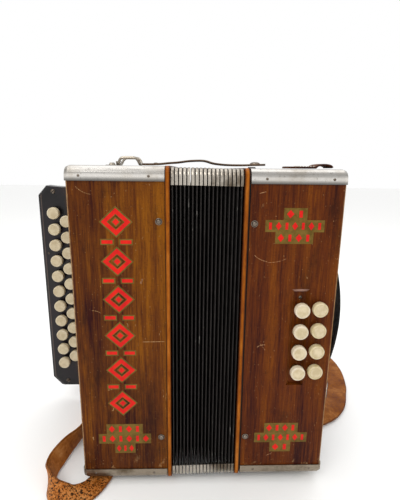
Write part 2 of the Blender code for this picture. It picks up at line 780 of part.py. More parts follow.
def make_reed_blocks():
    middle = (TREBLE_BASE + TREBLE_TOP) / 2
    left = BOARD_FACE + BOARD_THICKNESS + FIT_GAP
    pallet_low = AXLE_Y - OUTER_PALLET_REACH - VALVE_HOLE[0]
    pallet_high = AXLE_Y - INNER_PALLET_REACH + VALVE_HOLE[0]
    reed_block(
        "treble_reed_block",
        (left, pallet_low, middle - REED_BLOCK_HEIGHT / 2),
        (TREBLE_MOUTH - WALL, pallet_high, middle + REED_BLOCK_HEIGHT / 2),
        REED_CELLS, True,
    )
    front = BASS_BOARD_FACE + BOARD_THICKNESS + FIT_GAP
    keys_middle = BASS_TOP_BUTTON_Z - BASS_PITCH * (BASS_ROWS - 1) / 2
    half = BASS_PITCH * BASS_ROWS / 2 + WALL
    hole_x = BASS_AXLE_X - BASS_PALLET_REACH
    reed_block(
        "bass_reed_block",
        (hole_x - BASS_PALLET_SIZE[0] / 2 - FIT_GAP, front, keys_middle - half),
        (hole_x + 2 * BASS_PALLET_SIZE[0], front + 5 * WALL, keys_middle + half),
        BASS_ROWS, False,
    )


# Bass action.


def bass_keys():
    """(x, height, lever's offset in height, name) of each bass key, top first, inner column first."""
    keys = []
    for column, inward in enumerate(BASS_COLUMNS_FROM_END):
        offset = -BASS_LEVER_OFFSET if column == 0 else BASS_LEVER_OFFSET
        row_name = "inner" if column == 0 else "outer"
        for row in range(BASS_ROWS):
            height = BASS_TOP_BUTTON_Z - row * BASS_PITCH + BASS_COLUMN_RISE[column]
            keys.append((BASS_END - inward, height, offset, f"bass_key_{row_name}_{row + 1}"))
    return keys


def bass_key_mesh(name, x, offset):
    """A rocker about Z at its origin: button and lever towards +X, pallet towards -X."""
    half = LEVER_THICKNESS / 2
    button_x = x - BASS_AXLE_X
    face = FRONT - BASS_HEAD_GAP - BUTTON_THICKNESS - BASS_AXLE_Y
    length, thick, wide = BASS_PALLET_SIZE
    board = BASS_BOARD_FACE - FIT_GAP - BASS_AXLE_Y
    stem = bmesh.new()
    add_rod(
        stem, (button_x, face + BUTTON_THICKNESS / 2, -offset), (button_x, half, -offset),
        BASS_STEM_DIAMETER, STEM_SIDES,
    )
    low, high = sorted((0.0, -offset - math.copysign(half, offset)))
    pieces = [
        eye_piece(name + "_eye"),
        box_mesh(name + "_lever", (EYE_DIAMETER / 4, -half, -half), (button_x + half, half, half)),
        box_mesh(name + "_pad", (button_x - half, -half, low), (button_x + half, half, high)),
        button_piece(name + "_head", button_x, face, BASS_BUTTON_DIAMETER),
        mesh_from(name + "_stem", stem),
        box_mesh(
            name + "_tail", (-BASS_PALLET_REACH - half, -half, -half), (-EYE_DIAMETER / 4, half, half)
        ),
        box_mesh(
            name + "_foot", (-BASS_PALLET_REACH - half, -half, -0.9 * half),
            (-BASS_PALLET_REACH + half, board - thick / 2, 0.9 * half),
        ),
        box_mesh(
            name + "_pallet", (-BASS_PALLET_REACH - length / 2, board - thick, -wide / 2),
            (-BASS_PALLET_REACH + length / 2, board, wide / 2),
        ),
    ]
    head = pieces[3]
    head.transform(Matrix.Translation((0, 0, -offset)))
    made = bored(name, fused_mesh(name + "_whole", pieces))
    made.materials.clear()
    made.materials.append(MATERIALS["cream_plastic"])
    return made


def make_bass_action():
    shared = {}
    for x, height, offset, name in bass_keys():
        if offset not in shared:
            shared[offset] = bass_key_mesh(name, x, offset)
        place = (BASS_AXLE_X, BASS_AXLE_Y, height + offset)
        smooth_shade(add_object(name, shared[offset], "cream_plastic", place))
    bm = bmesh.new()
    low, high = BASS_BASE + WALL + FIT_GAP, BASS_TOP - WALL - FIT_GAP
    add_rod(bm, (BASS_AXLE_X, BASS_AXLE_Y, low), (BASS_AXLE_X, BASS_AXLE_Y, high), AXLE_DIAMETER, 12)
    smooth_shade(add_object("bass_axle", mesh_from("bass_axle", bm), "steel"))


def make_air_button():
    x = BASS_END - AIR_BUTTON_FROM_END
    inside = BACK - WALL - FIT_GAP
    pieces = []
    for start, end, diameter, sides in (
        (BACK + TREBLE_HEAD_GAP, BACK + TREBLE_HEAD_GAP + BUTTON_THICKNESS, AIR_BUTTON_DIAMETER, 16),
        (inside - STEM_DIAMETER / 2, BACK + TREBLE_HEAD_GAP + BUTTON_THICKNESS / 2, STEM_DIAMETER, 10),
        (inside - STEM_DIAMETER, inside, AIR_VALVE_DIAMETER, 16),
    ):
        bm = bmesh.new()
        add_rod(bm, (0, start - BACK, 0), (0, end - BACK, 0), diameter, sides)
        pieces.append(mesh_from(f"air_piece_{len(pieces)}", bm))
    mesh = fused_mesh("air_button", pieces)
    mesh.materials.clear()
    smooth_shade(add_object("air_button", mesh, "cream_plastic", (x, BACK, AIR_BUTTON_Z)))


def make_bass_end_panel():
    right = BASS_END - GRILLE_INSET
    low = (FRONT + WALL + FIT_GAP, BASS_BASE + WALL + FIT_GAP)
    high = (BACK - WALL - FIT_GAP, BASS_TOP - WALL - FIT_GAP)
    panel = add_object(
        "bass_end_panel",
        box_mesh("bass_end_panel", (right - GRILLE_THICKNESS, low[0], low[1]), (right, high[0], high[1])),
        "bass_wood",
    )
    bm = bmesh.new()
    wide, tall = GRILLE_SLOT
    for side in (-1, 1):
        for row in range(3):
            y = side * CASE_DEPTH * 0.33
            z = (low[1] + high[1]) / 2 + (row - 1) * 1.6 * tall
            corner = (right - WALL, y - wide / 2, z - tall / 2)
            add_box(bm, corner, (right + WALL, y + wide / 2, z + tall / 2))
    cut(panel, add_cutter("end_panel_slots", mesh_from("end_panel_slots", bm)))


# Feet, lugs and straps.


def make_feet():
    for name, x, base in (
        ("treble_foot_rail", TREBLE_MOUTH - TREBLE_FOOT_FROM_MOUTH, TREBLE_BASE),
        ("bass_foot_rail", BASS_END - BASS_FOOT_FROM_END, BASS_BASE),
    ):
        half, reach = FOOT_RAIL_SIZE[0] / 2, FOOT_RAIL_SIZE[1] / 2
        top = base - COVER_PROUD - FIT_GAP
        outline = rounded_rectangle((x - half, -reach), (x + half, reach), half * 0.95, 4)
        bm = bmesh.new()
        add_prism(bm, outline, "Z", 0.0, top)
        smooth_shade(add_object(name, mesh_from(name, bm), "black_lacquer"))


def make_lug(name, x, z):
    """A metal strap plate on the back of the treble case, where the strap's end is riveted down."""
    wide, thick, tall = LUG_SIZE
    low = (x - wide / 2, BACK + FIT_GAP, z - tall / 2)
    high = (x + wide / 2, BACK + FIT_GAP + thick, z + tall / 2)
    add_object(name, box_mesh(name, low, high), "nickel")


def make_shoulder_strap():
    top_x, low_x = (TREBLE_MOUTH - inward for inward in SHOULDER_STRAP_FROM_MOUTH)
    seat = BACK + STRAP_SEAT_GAP
    level = STRAP_THICKNESS / 2 + SHOULDER_STRAP_FLOOR_GAP
    route = (
        (top_x, seat, 0.268, -1, 0, 0), (top_x, seat + 0.0022, 0.245, -1, 0, 0),
        (top_x - 0.002, seat + 0.0072, 0.205, -1, 0, 0), (top_x - 0.008, seat + 0.0120, 0.160, -1, 0, 0),
        (top_x - 0.018, seat + 0.0160, 0.115, -1, 0, 0.1),
        (top_x - 0.032, seat + 0.0180, 0.075, -0.95, 0, 0.3),
        (top_x - 0.050, seat + 0.0160, 0.042, -0.8, 0, 0.6), (-0.1235, 0.0880, 0.0215, -0.5, 0, 0.87),
        (-0.1280, 0.0600, 0.0130, -0.2, 0, 0.98), (-0.1280, 0.0250, 0.0118, 0, 0, 1),
        (-0.1290, -0.0020, 0.0116, 0.05, 0, 1), (-0.1347, -0.0280, 0.0116, 0.16, 0, 0.98),
        (-0.1417, -0.0455, 0.0118, -0.18, 0, 0.98), (-0.1458, -0.0586, 0.0114, -0.35, 0, 0.94),
        (-0.1480, -0.0700, 0.0113, -0.35, 0, 0.94), (-0.1470, -0.0813, 0.0115, -0.3, 0, 0.95),
        (-0.1450, -0.0886, 0.0118, 0.07, 0, 1), (-0.1415, -0.0960, 0.0114, 0.3, 0.1, 0.95),
        (-0.1355, -0.1020, 0.0112, 0.35, 0.35, 0.85), (-0.1275, -0.1045, 0.0088, 0.25, 0.75, 0.6),
        (-0.1190, -0.1020, 0.0058, -0.2, 0.95, 0.3), (-0.1100, -0.0950, 0.0036, -0.55, 0.8, 0.15),
        (-0.1030, -0.0850, level, -0.75, 0.6, 0), (-0.0985, -0.0720, level, -0.9, 0.35, 0),
        (-0.0955, -0.0500, level, -1, 0, 0), (low_x, 0.0, level, -1, 0, 0),
        (low_x, 0.0600, level, -1, 0, 0), (low_x, 0.0860, level, -1, 0, 0),
        (low_x, 0.0960, 0.0080, -1, 0, 0), (low_x, seat + 0.0022, 0.0200, -1, 0, 0),
        (low_x, seat, 0.0320, -1, 0, 0),
    )
    mesh = ribbon_mesh("shoulder_strap", route, SHOULDER_STRAP_WIDTH, STRAP_THICKNESS)
    add_object("shoulder_strap", mesh, "brown_leather")
    make_lug("strap_lug_top", top_x, LUG_HEIGHTS[0])
    make_lug("strap_lug_bottom", low_x, LUG_HEIGHTS[1])


def make_bass_strap():
    x = BASS_END - BASS_STRAP_FROM_END
    seat = BACK + FIT_GAP + STRAP_THICKNESS / 2
    level = STRAP_THICKNESS / 2 + BASS_STRAP_FLOOR_GAP
    route = (
        (x, seat, 0.078, 1, 0, 0), (x, seat + 0.0012, 0.062, 1, 0, 0),
        (x + 0.001, seat + 0.0050, 0.045, 1, 0, 0), (x + 0.003, seat + 0.0120, 0.030, 1, -0.2, 0),
        (x + 0.010, seat + 0.028, 0.014, 0.8, -0.5, 0), (x + 0.032, seat + 0.054, level, 0.5, -0.8, 0),
        (x + 0.070, seat + 0.078, level, 0.3, -1, 0), (x + 0.110, seat + 0.080, level, -0.3, -1, 0),
        (0.2000, 0.1520, level, -0.9, -0.4, 0), (0.2040, 0.1160, level, -1, 0.1, 0),
        (0.1960, 0.0780, level, -0.97, 0.25, 0), (0.1880, 0.0580, level, -0.93, 0.37, 0),
        (0.1755, 0.0320, 0.0044, -0.85, 0.5, 0.1), (0.1600, 0.0140, 0.0062, -0.6, 0.75, 0.25),
        (0.1440, 0.0040, 0.0066, -0.5, 0.85, 0.27), (0.1260, -0.0030, 0.0066, -0.4, 0.9, 0.27),
    )
    mesh = ribbon_mesh("bass_strap", route, BASS_STRAP_WIDTH, STRAP_THICKNESS)
    add_object("bass_strap", mesh, "brown_leather")


def make_hand_strap():
    start, end = HAND_STRAP_SPAN
    outline = [
        (BASS_END - GRILLE_INSET + FIT_GAP + rise, height)
        for rise, height in arch_outline(start, end, HAND_STRAP_BULGE, STRAP_THICKNESS)
    ]
    bm = bmesh.new()
    half = HAND_STRAP_WIDTH / 2
    first = [bm.verts.new((x, -half, z)) for x, z in outline]
    last = [bm.verts.new((x, half, z)) for x, z in outline]
    bm.faces.new(first)
    bm.faces.new(last)
    for i in range(len(outline)):
        j = (i + 1) % len(outline)
        bm.faces.new((first[i], first[j], last[j], last[i]))
    add_object("hand_strap", mesh_from("hand_strap", bm), "black_leather")


def make_top_tab():
    """A stitched leather tab on the bass case's top, its outer end folded up into a keeper."""
    low = BASS_TOP + COVER_PROUD + FIT_GAP
    left, right = (BASS_END - inward for inward in TAB_FROM_END)
    keeper = right - TAB_KEEPER_LENGTH
    outline = [(left, low), (right, low), (right + TAB_THICKNESS / 2, low + TAB_THICKNESS)]
    for i in range(7):
        angle = math.radians(20 + 140 * i / 6)
        centre = (keeper + right) / 2
        reach = TAB_KEEPER_LENGTH / 2 * math.cos(angle)
        outline.append((centre + reach, low + TAB_KEEPER_RISE * math.sin(angle)))
    outline += [(keeper, low + TAB_THICKNESS), (left, low + TAB_THICKNESS)]
    mesh = prism_mesh("top_tab", outline, "Y", *TAB_SIDES)
    add_object("top_tab", mesh, "brown_leather")


def ring_rise(x):
    """Height of the ring's sides above its two bars: steep at the ends and flat along the middle."""
    share = min(max(x / WIRE_RING_SIZE[0], 0), 1)
    return WIRE_RING_RISE * (1 - (2 * share - 1) ** 6)


def ring_path():
    """Centreline of the wire ring about its hinge bar, closed, in metres."""
    length, wide = WIRE_RING_SIZE
    plan = rounded_rectangle((0.0, -wide / 2), (length, wide / 2), WIRE_RING_CORNER, 3)
    return [Vector((x, y, ring_rise(x))) for x, y in plan]


def make_wire_ring(hinge):
    path = ring_path()
    dense = []
    for i, point in enumerate(path):
        after = path[(i + 1) % len(path)]
        steps = 12 if abs(after.x - point.x) > WIRE_RING_SIZE[0] / 3 else 1
        for step in range(steps):
            spot = point.lerp(after, 0.5 - 0.5 * math.cos(math.pi * step / steps))
            spot.z = ring_rise(spot.x)
            dense.append(spot)
    bm = bmesh.new()
    sides, radius = WIRE_SIDES, WIRE_DIAMETER / 2
    rings = []
    for i, point in enumerate(dense):
        run = (dense[(i + 1) % len(dense)] - dense[i - 1]).normalized()
        across = run.cross(Vector((0, 0, 1))).normalized()
        up = across.cross(run)
        ring = []
        for k in range(sides):
            angle = 2 * math.pi * k / sides
            way = across * math.cos(angle) + up * math.sin(angle)
            ring.append(bm.verts.new(point + way * radius))
        rings.append(ring)
    for i, ring in enumerate(rings):
        following = rings[(i + 1) % len(rings)]
        for k in range(sides):
            bm.faces.new((ring[k], ring[(k + 1) % sides], following[(k + 1) % sides], following[k]))
    smooth_shade(add_object("wire_ring", mesh_from("wire_ring", bm), "steel", hinge))


def make_bellows_strap():
    top = TREBLE_TOP + COVER_PROUD
    hinge = Vector((TREBLE_END + WIRE_HINGE_FROM_END, 0.0, top + FIT_GAP + WIRE_DIAMETER / 2 + FIT_GAP))
    make_wire_ring(hinge)

    base = top + FIT_GAP
    hook_top = hinge.z + WIRE_DIAMETER / 2 + 2 * FIT_GAP
    thick = HOOK_THICKNESS
    back_x = hinge.x - WIRE_DIAMETER / 2 - 2 * FIT_GAP
    end_x, lip_x = back_x - HOOK_LENGTH, hinge.x + HOOK_LIP
    outline = (
        (end_x, base), (back_x, base), (back_x, hook_top), (lip_x, hook_top),
        (lip_x, hook_top + thick), (back_x - thick, hook_top + thick), (back_x - thick, base + thick),
        (end_x, base + thick),
    )
    plate = prism_mesh("strap_hook_plate", outline, "Y", -HOOK_WIDTH / 2, HOOK_WIDTH / 2)
    bm = bmesh.new()
    screw_x = back_x - HOOK_SCREW_PLACE
    screw_low, screw_high = base + thick / 2, base + HOOK_SCREW_HEIGHT
    broad, narrow = HOOK_SCREW_DIAMETERS
    add_rod(bm, (screw_x, 0, screw_low), (screw_x, 0, screw_high), broad, 14, narrow)
    whole = fused_mesh("strap_hook", [plate, mesh_from("strap_screw", bm)])
    whole.materials.clear()
    smooth_shade(add_object("strap_hook", whole, "nickel"))

    pivot = Vector((hinge.x + WIRE_RING_SIZE[0], 0.0, hinge.z))
    near = WIRE_DIAMETER / 2 + FIT_GAP
    half = BELLOWS_STRAP_THICKNESS / 2
    lift = BELLOWS_STRAP_LIFT
    bass_top = BASS_TOP + COVER_PROUD
    rest = bass_top + FIT_GAP + STUD_HEIGHT + 2 * FIT_GAP + half - pivot.z
    flat = top + FRAME_PROUD + 3 * FIT_GAP + half - pivot.z
    length = BELLOWS_STRAP_LENGTH
    bulge, rest = BELLOWS_STRAP_BULGE, max(flat, rest)
    heights = (
        (near + half, 0.0), (0.012, flat), (0.027, flat + bulge / 4), (0.045, flat + 3 * bulge / 4),
        (0.058, flat + bulge), (0.066, flat + 0.9 * bulge), (0.077, flat + bulge / 4),
        (0.090, rest), (0.108, rest), (length, rest + lift),
    )
    path = smooth_path([(x, 0.0, z) for x, z in heights], 3)
    bm = bmesh.new()
    rings = []
    for i, point in enumerate(path):
        run = (path[min(i + 1, len(path) - 1)] - path[max(i - 1, 0)]).normalized()
        normal = Vector((-run.z, 0, run.x))
        wide = BELLOWS_STRAP_WIDTH / 2
        if length - point.x < wide:
            wide = math.sqrt(max(wide ** 2 - (wide - (length - point.x)) ** 2, (wide / 3) ** 2))
        rings.append([
            bm.verts.new(point + Vector((0, a * wide, 0)) + normal * (b * half))
            for a, b in ((-1, -1), (1, -1), (1, 1), (-1, 1))
        ])
    close_loft(bm, rings)
    add_object("bellows_strap", mesh_from("bellows_strap", bm), "brown_leather", pivot)

    stud_x, stud_base = pivot.x + STUD_FROM_HINGE, bass_top + FIT_GAP
    broad, narrow = STUD_DIAMETERS
    bm = bmesh.new()
    add_rod(bm, (stud_x, 0, stud_base), (stud_x, 0, stud_base + STUD_HEIGHT), broad, 16, narrow)
    smooth_shade(add_object("strap_stud", mesh_from("strap_stud", bm), "nickel"))


def centre_on_footprint():
    """Moves the whole instrument so that the middle of its outline on the ground is the origin."""
    bpy.context.view_layer.update()
    graph = bpy.context.evaluated_depsgraph_get()
    low, high = Vector((math.inf,) * 3), Vector((-math.inf,) * 3)
    for part in bpy.data.objects:
        if part.type != "MESH" or part.hide_render:
            continue
        shown = part.evaluated_get(graph)
        mesh = shown.to_mesh()
        for vertex in mesh.vertices:
            spot = shown.matrix_world @ vertex.co
            low = Vector(map(min, low, spot))
            high = Vector(map(max, high, spot))
        shown.to_mesh_clear()
    STAND.location = (-(low.x + high.x) / 2, -(low.y + high.y) / 2, -low.z)


clear_scene()
STAND = bpy.data.objects.new("stand", None)
bpy.context.scene.collection.objects.link(STAND)
MATERIALS = make_materials()
make_treble_case()
make_bass_case()
make_covers()
make_bellows()
make_treble_action()
make_fingerboard()
make_grille()
make_reed_blocks()
make_bass_action()
make_air_button()
make_bass_end_panel()
make_feet()
make_shoulder_strap()
make_bass_strap()
make_hand_strap()
make_top_tab()
make_bellows_strap()
centre_on_footprint()
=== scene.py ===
"""Looks for a two-row button accordion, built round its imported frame. Metres, +Z up, front facing -Y."""

import math

import bmesh
import bpy
from mathutils import Matrix, Vector


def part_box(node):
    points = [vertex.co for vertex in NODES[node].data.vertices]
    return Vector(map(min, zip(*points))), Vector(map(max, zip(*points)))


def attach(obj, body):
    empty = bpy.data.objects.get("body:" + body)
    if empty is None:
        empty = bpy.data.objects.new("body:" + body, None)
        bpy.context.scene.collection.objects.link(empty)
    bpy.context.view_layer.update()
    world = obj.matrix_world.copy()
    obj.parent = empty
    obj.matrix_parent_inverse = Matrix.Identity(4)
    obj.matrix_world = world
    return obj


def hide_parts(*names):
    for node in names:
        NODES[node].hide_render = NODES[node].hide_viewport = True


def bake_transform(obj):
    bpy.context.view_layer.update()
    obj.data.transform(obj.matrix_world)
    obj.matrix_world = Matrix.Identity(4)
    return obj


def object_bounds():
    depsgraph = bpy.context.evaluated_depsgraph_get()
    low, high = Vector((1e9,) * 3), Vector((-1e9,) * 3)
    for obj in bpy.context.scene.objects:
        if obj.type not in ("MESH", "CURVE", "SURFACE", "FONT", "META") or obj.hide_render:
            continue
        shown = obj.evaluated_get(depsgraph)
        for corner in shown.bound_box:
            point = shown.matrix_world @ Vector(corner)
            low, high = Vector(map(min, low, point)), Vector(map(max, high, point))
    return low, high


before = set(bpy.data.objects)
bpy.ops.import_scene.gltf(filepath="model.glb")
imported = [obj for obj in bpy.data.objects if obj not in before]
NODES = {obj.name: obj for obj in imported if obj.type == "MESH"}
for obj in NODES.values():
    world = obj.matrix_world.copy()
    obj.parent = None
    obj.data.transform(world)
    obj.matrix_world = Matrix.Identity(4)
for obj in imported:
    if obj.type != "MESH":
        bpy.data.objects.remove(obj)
CAD_BOX = [list(map(float, corner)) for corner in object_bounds()]

# The closed instrument's own coordinates: X = 0 at its middle, Y = 0 at mid depth, Z = 0 on the ground.
TREBLE_END, FRONT, TREBLE_BASE = -0.11375, -0.084, 0.0071
BACK = -FRONT
HOME = Vector(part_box("treble_case")[0]) - Vector((TREBLE_END, FRONT, TREBLE_BASE))


def local_box(node):
    low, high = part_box(node)
    return Vector(low) - HOME, Vector(high) - HOME


TREBLE_LOW, TREBLE_HIGH = local_box("treble_case")
BASS_LOW, BASS_HIGH = local_box("bass_case")
FOLDS_LOW = local_box("bellows_folds_1")
FOLDS_HIGH = local_box("bellows_folds_3")
BOARD_LOW, BOARD_HIGH = local_box("fingerboard")

# Camera, lights and floor.

CAMERA_PLACE = (-0.01435, -0.3785, 0.2987)
CAMERA_YAW, CAMERA_PITCH, CAMERA_ROLL = 0.02996, 0.21973, 0.01136
CAMERA_LENS = 26.06
WORLD_STRENGTH = 1.0
# How much brighter the studio shows a matt colour, and the sheen that it adds over it.
LIT, SHEEN, DARKEST = 1.18, 0.018, 0.0008


def make_camera():
    ahead = Vector((
        math.sin(CAMERA_YAW) * math.cos(CAMERA_PITCH),
        math.cos(CAMERA_YAW) * math.cos(CAMERA_PITCH),
        -math.sin(CAMERA_PITCH),
    ))
    right = Vector((math.cos(CAMERA_YAW), -math.sin(CAMERA_YAW), 0.0))
    up = right.cross(ahead)
    turn = math.cos(CAMERA_ROLL), math.sin(CAMERA_ROLL)
    side = right * turn[0] + up * turn[1]
    top = up * turn[0] - right * turn[1]
    data = bpy.data.cameras.new("camera")
    data.lens = CAMERA_LENS
    data.clip_start = 0.01
    camera = bpy.data.objects.new("camera", data)
    bpy.context.scene.collection.objects.link(camera)
    pose = Matrix((side, top, -ahead)).transposed().to_4x4()
    camera.matrix_world = Matrix.Translation(Vector(CAMERA_PLACE) + HOME) @ pose
    bpy.context.scene.camera = camera


def make_light(name, place, target, size, power, colour=(1.0, 1.0, 1.0)):
    data = bpy.data.lights.new(name, "AREA")
    data.shape = "RECTANGLE"
    data.size, data.size_y = size
    data.energy = power
    data.color = colour
    lamp = bpy.data.objects.new(name, data)
    bpy.context.scene.collection.objects.link(lamp)
    lamp.location = place
    lamp.rotation_euler = (Vector(target) - Vector(place)).to_track_quat("-Z", "Y").to_euler()


def make_studio():
    make_light("key", (-0.55, -1.05, 1.45), (0, 0, 0.15), (0.9, 0.6), 9.0, (1.0, 0.985, 0.96))
    make_light("fill", (1.2, -0.9, 0.6), (0, 0, 0.15), (0.8, 1.2), 1.5)
    make_light("top", (0.0, 0.25, 1.5), (0, 0, 0.2), (1.6, 1.0), 6.0)
    world = bpy.data.worlds.new("studio")
    bpy.context.scene.world = world
    world.use_nodes = True
    world.node_tree.nodes["Background"].inputs["Color"].default_value = (1.0, 1.0, 1.0, 1.0)
    world.node_tree.nodes["Background"].inputs["Strength"].default_value = WORLD_STRENGTH
    bpy.context.scene.view_settings.view_transform = "Standard"

    bm = bmesh.new()
    bmesh.ops.create_grid(bm, x_segments=2, y_segments=2, size=6.0)
    mesh = bpy.data.meshes.new("floor")
    bm.to_mesh(mesh)
    bm.free()
    floor = bpy.data.objects.new("floor", mesh)
    bpy.context.scene.collection.objects.link(floor)
    floor.location.z = CAD_BOX[0][2]
    mesh.materials.append(Paint("floor_paint", (0.93, 0.93, 0.92), 0.7).done())


# Materials. Every one is a node tree on object coordinates, which are metres in the row's frame.


def linear(value):
    return value / 12.92 if value <= 0.04045 else ((value + 0.055) / 1.055) ** 2.4


def rgb(red, green, blue):
    """The linear paint colour that the studio shows as this display colour from 0 to 255."""
    return tuple(max((linear(v / 255) - SHEEN) / LIT, DARKEST) for v in (red, green, blue)) + (1.0,)


class Paint:
    """A small helper that builds one material's nodes."""

    def __init__(self, name, colour=(0.5, 0.5, 0.5), roughness=0.5, metallic=0.0):
        self.material = bpy.data.materials.new(name)
        self.material.use_nodes = True
        self.tree = self.material.node_tree
        self.shader = self.tree.nodes["Principled BSDF"]
        self.shader.inputs["Base Color"].default_value = (*colour[:3], 1.0)
        self.shader.inputs["Roughness"].default_value = roughness
        self.shader.inputs["Metallic"].default_value = metallic
        self.place = self.node("ShaderNodeTexCoord").outputs["Object"]

    def node(self, kind, **settings):
        made = self.tree.nodes.new(kind)
        for key, value in settings.items():
            setattr(made, key, value)
        return made

    def link(self, value, socket):
        if isinstance(value, (int, float)):
            socket.default_value = value
        elif isinstance(value, tuple):
            socket.default_value = value if len(value) == 4 or socket.type == "VECTOR" else (*value, 1.0)
        else:
            self.tree.links.new(value, socket)

    def stretched(self, scale, turn=(0, 0, 0), shift=(0, 0, 0)):
        made = self.node("ShaderNodeMapping")
        self.link(self.place, made.inputs["Vector"])
        made.inputs["Scale"].default_value = scale
        made.inputs["Rotation"].default_value = turn
        made.inputs["Location"].default_value = shift
        return made.outputs["Vector"]

    def noise(self, scale, detail=4.0, rough=0.55, where=None, distortion=0.0):
        made = self.node("ShaderNodeTexNoise")
        self.link(self.place if where is None else where, made.inputs["Vector"])
        made.inputs["Scale"].default_value = scale
        made.inputs["Detail"].default_value = detail
        made.inputs["Roughness"].default_value = rough
        made.inputs["Distortion"].default_value = distortion
        return made.outputs["Fac"]

    def cells(self, scale):
        made = self.node("ShaderNodeTexVoronoi")
        self.link(self.place, made.inputs["Vector"])
        made.inputs["Scale"].default_value = scale
        return made.outputs["Distance"]

    def ramp(self, value, *stops):
        made = self.node("ShaderNodeValToRGB")
        self.link(value, made.inputs["Fac"])
        steps = made.color_ramp.elements
        while len(steps) < len(stops):
            steps.new(0.5)
        for step, (place, colour) in zip(steps, stops):
            step.position = place
            step.color = colour if isinstance(colour, tuple) else (colour, colour, colour, 1.0)
        return made.outputs["Color"]

    def span(self, value, low, high, to_low=0.0, to_high=1.0):
        made = self.node("ShaderNodeMapRange", interpolation_type="SMOOTHSTEP")
        self.link(value, made.inputs["Value"])
        sockets = ("From Min", "From Max", "To Min", "To Max")
        for socket, number in zip(sockets, (low, high, to_low, to_high)):
            made.inputs[socket].default_value = number
        return made.outputs["Result"]

    def sum(self, a, b, operation="ADD"):
        made = self.node("ShaderNodeMath", operation=operation)
        self.link(a, made.inputs[0])
        self.link(b, made.inputs[1])
        return made.outputs["Value"]

    def times(self, a, b):
        return self.sum(a, b, "MULTIPLY")

    def mix(self, share, a, b, blend="MIX"):
        made = self.node("ShaderNodeMix", data_type="RGBA", blend_type=blend)
        self.link(share, made.inputs[0])
        self.link(a, made.inputs[6])
        self.link(b, made.inputs[7])
        return made.outputs[2]

    def axis(self, name):
        made = self.node("ShaderNodeSeparateXYZ")
        self.link(self.place, made.inputs["Vector"])
        return made.outputs[name]

    def facing(self, axis):
        """The part of the surface's own direction that lies along an axis, from -1 to 1."""
        made = self.node("ShaderNodeSeparateXYZ")
        turned = self.node("ShaderNodeVectorTransform", vector_type="NORMAL")
        turned.convert_from, turned.convert_to = "WORLD", "OBJECT"
        self.link(self.node("ShaderNodeNewGeometry").outputs["Normal"], turned.inputs["Vector"])
        self.link(turned.outputs["Vector"], made.inputs["Vector"])
        return made.outputs[axis]

    def scratch(self, colour, start, end, width, pale, strength=0.85, bow=0.0):
        """A thin pale mark on the front face between two (x, z) places, a little broken along its length."""
        (x0, z0), (x1, z1) = start, end
        length = math.hypot(x1 - x0, z1 - z0)
        along, up = (x1 - x0) / length, (z1 - z0) / length
        x = self.sum(self.axis("X"), -(x0 + HOME.x))
        z = self.sum(self.axis("Z"), -(z0 + HOME.z))
        run = self.sum(self.times(x, along), self.times(z, up))
        off = self.sum(self.times(x, -up), self.times(z, along))
        share = self.times(run, 1 / length)
        sag = self.times(self.times(share, self.sum(1.0, share, "SUBTRACT")), -4 * bow)
        away = self.sum(self.sum(off, sag), 0.0, "ABSOLUTE")
        line = self.span(away, width * 0.3, width, 1.0, 0.0)
        ends = self.times(self.span(share, 0.0, 0.12), self.span(share, 0.88, 1.0, 1.0, 0.0))
        broken = self.span(self.noise(900.0, 4.0, 0.7), 0.38, 0.56)
        front = self.span(self.axis("Y"), FRONT + HOME.y + 0.0006, FRONT + HOME.y + 0.001, 1.0, 0.0)
        mask = self.times(self.times(line, ends), self.times(broken, front))
        return self.mix(self.times(mask, strength), colour, pale)

    def own(self, name):
        return self.node("ShaderNodeAttribute", attribute_name=name).outputs["Fac"]

    def near(self, axis, at, reach):
        """1 at a plane across the closed instrument, falling to 0 at reach to either side."""
        shift = HOME["XYZ".index(axis)]
        away = self.sum(self.sum(self.axis(axis), -(at + shift)), 0.0, "ABSOLUTE")
        return self.span(away, 0.0, reach, 1.0, 0.0)

    def bump(self, height, strength=0.3, distance=0.0005):
        made = self.node("ShaderNodeBump")
        made.inputs["Strength"].default_value = strength
        made.inputs["Distance"].default_value = distance
        self.link(height, made.inputs["Height"])
        self.link(made.outputs["Normal"], self.shader.inputs["Normal"])

    def gloss(self, level):
        self.shader.inputs["Specular IOR Level"].default_value = level

    def coat(self, weight, roughness=0.2):
        self.shader.inputs["Coat Weight"].default_value = weight
        self.shader.inputs["Coat Roughness"].default_value = roughness

    def done(self, colour=None, roughness=None):
        if colour is not None:
            self.link(colour, self.shader.inputs["Base Color"])
        if roughness is not None:
            self.link(roughness, self.shader.inputs["Roughness"])
        return self.material


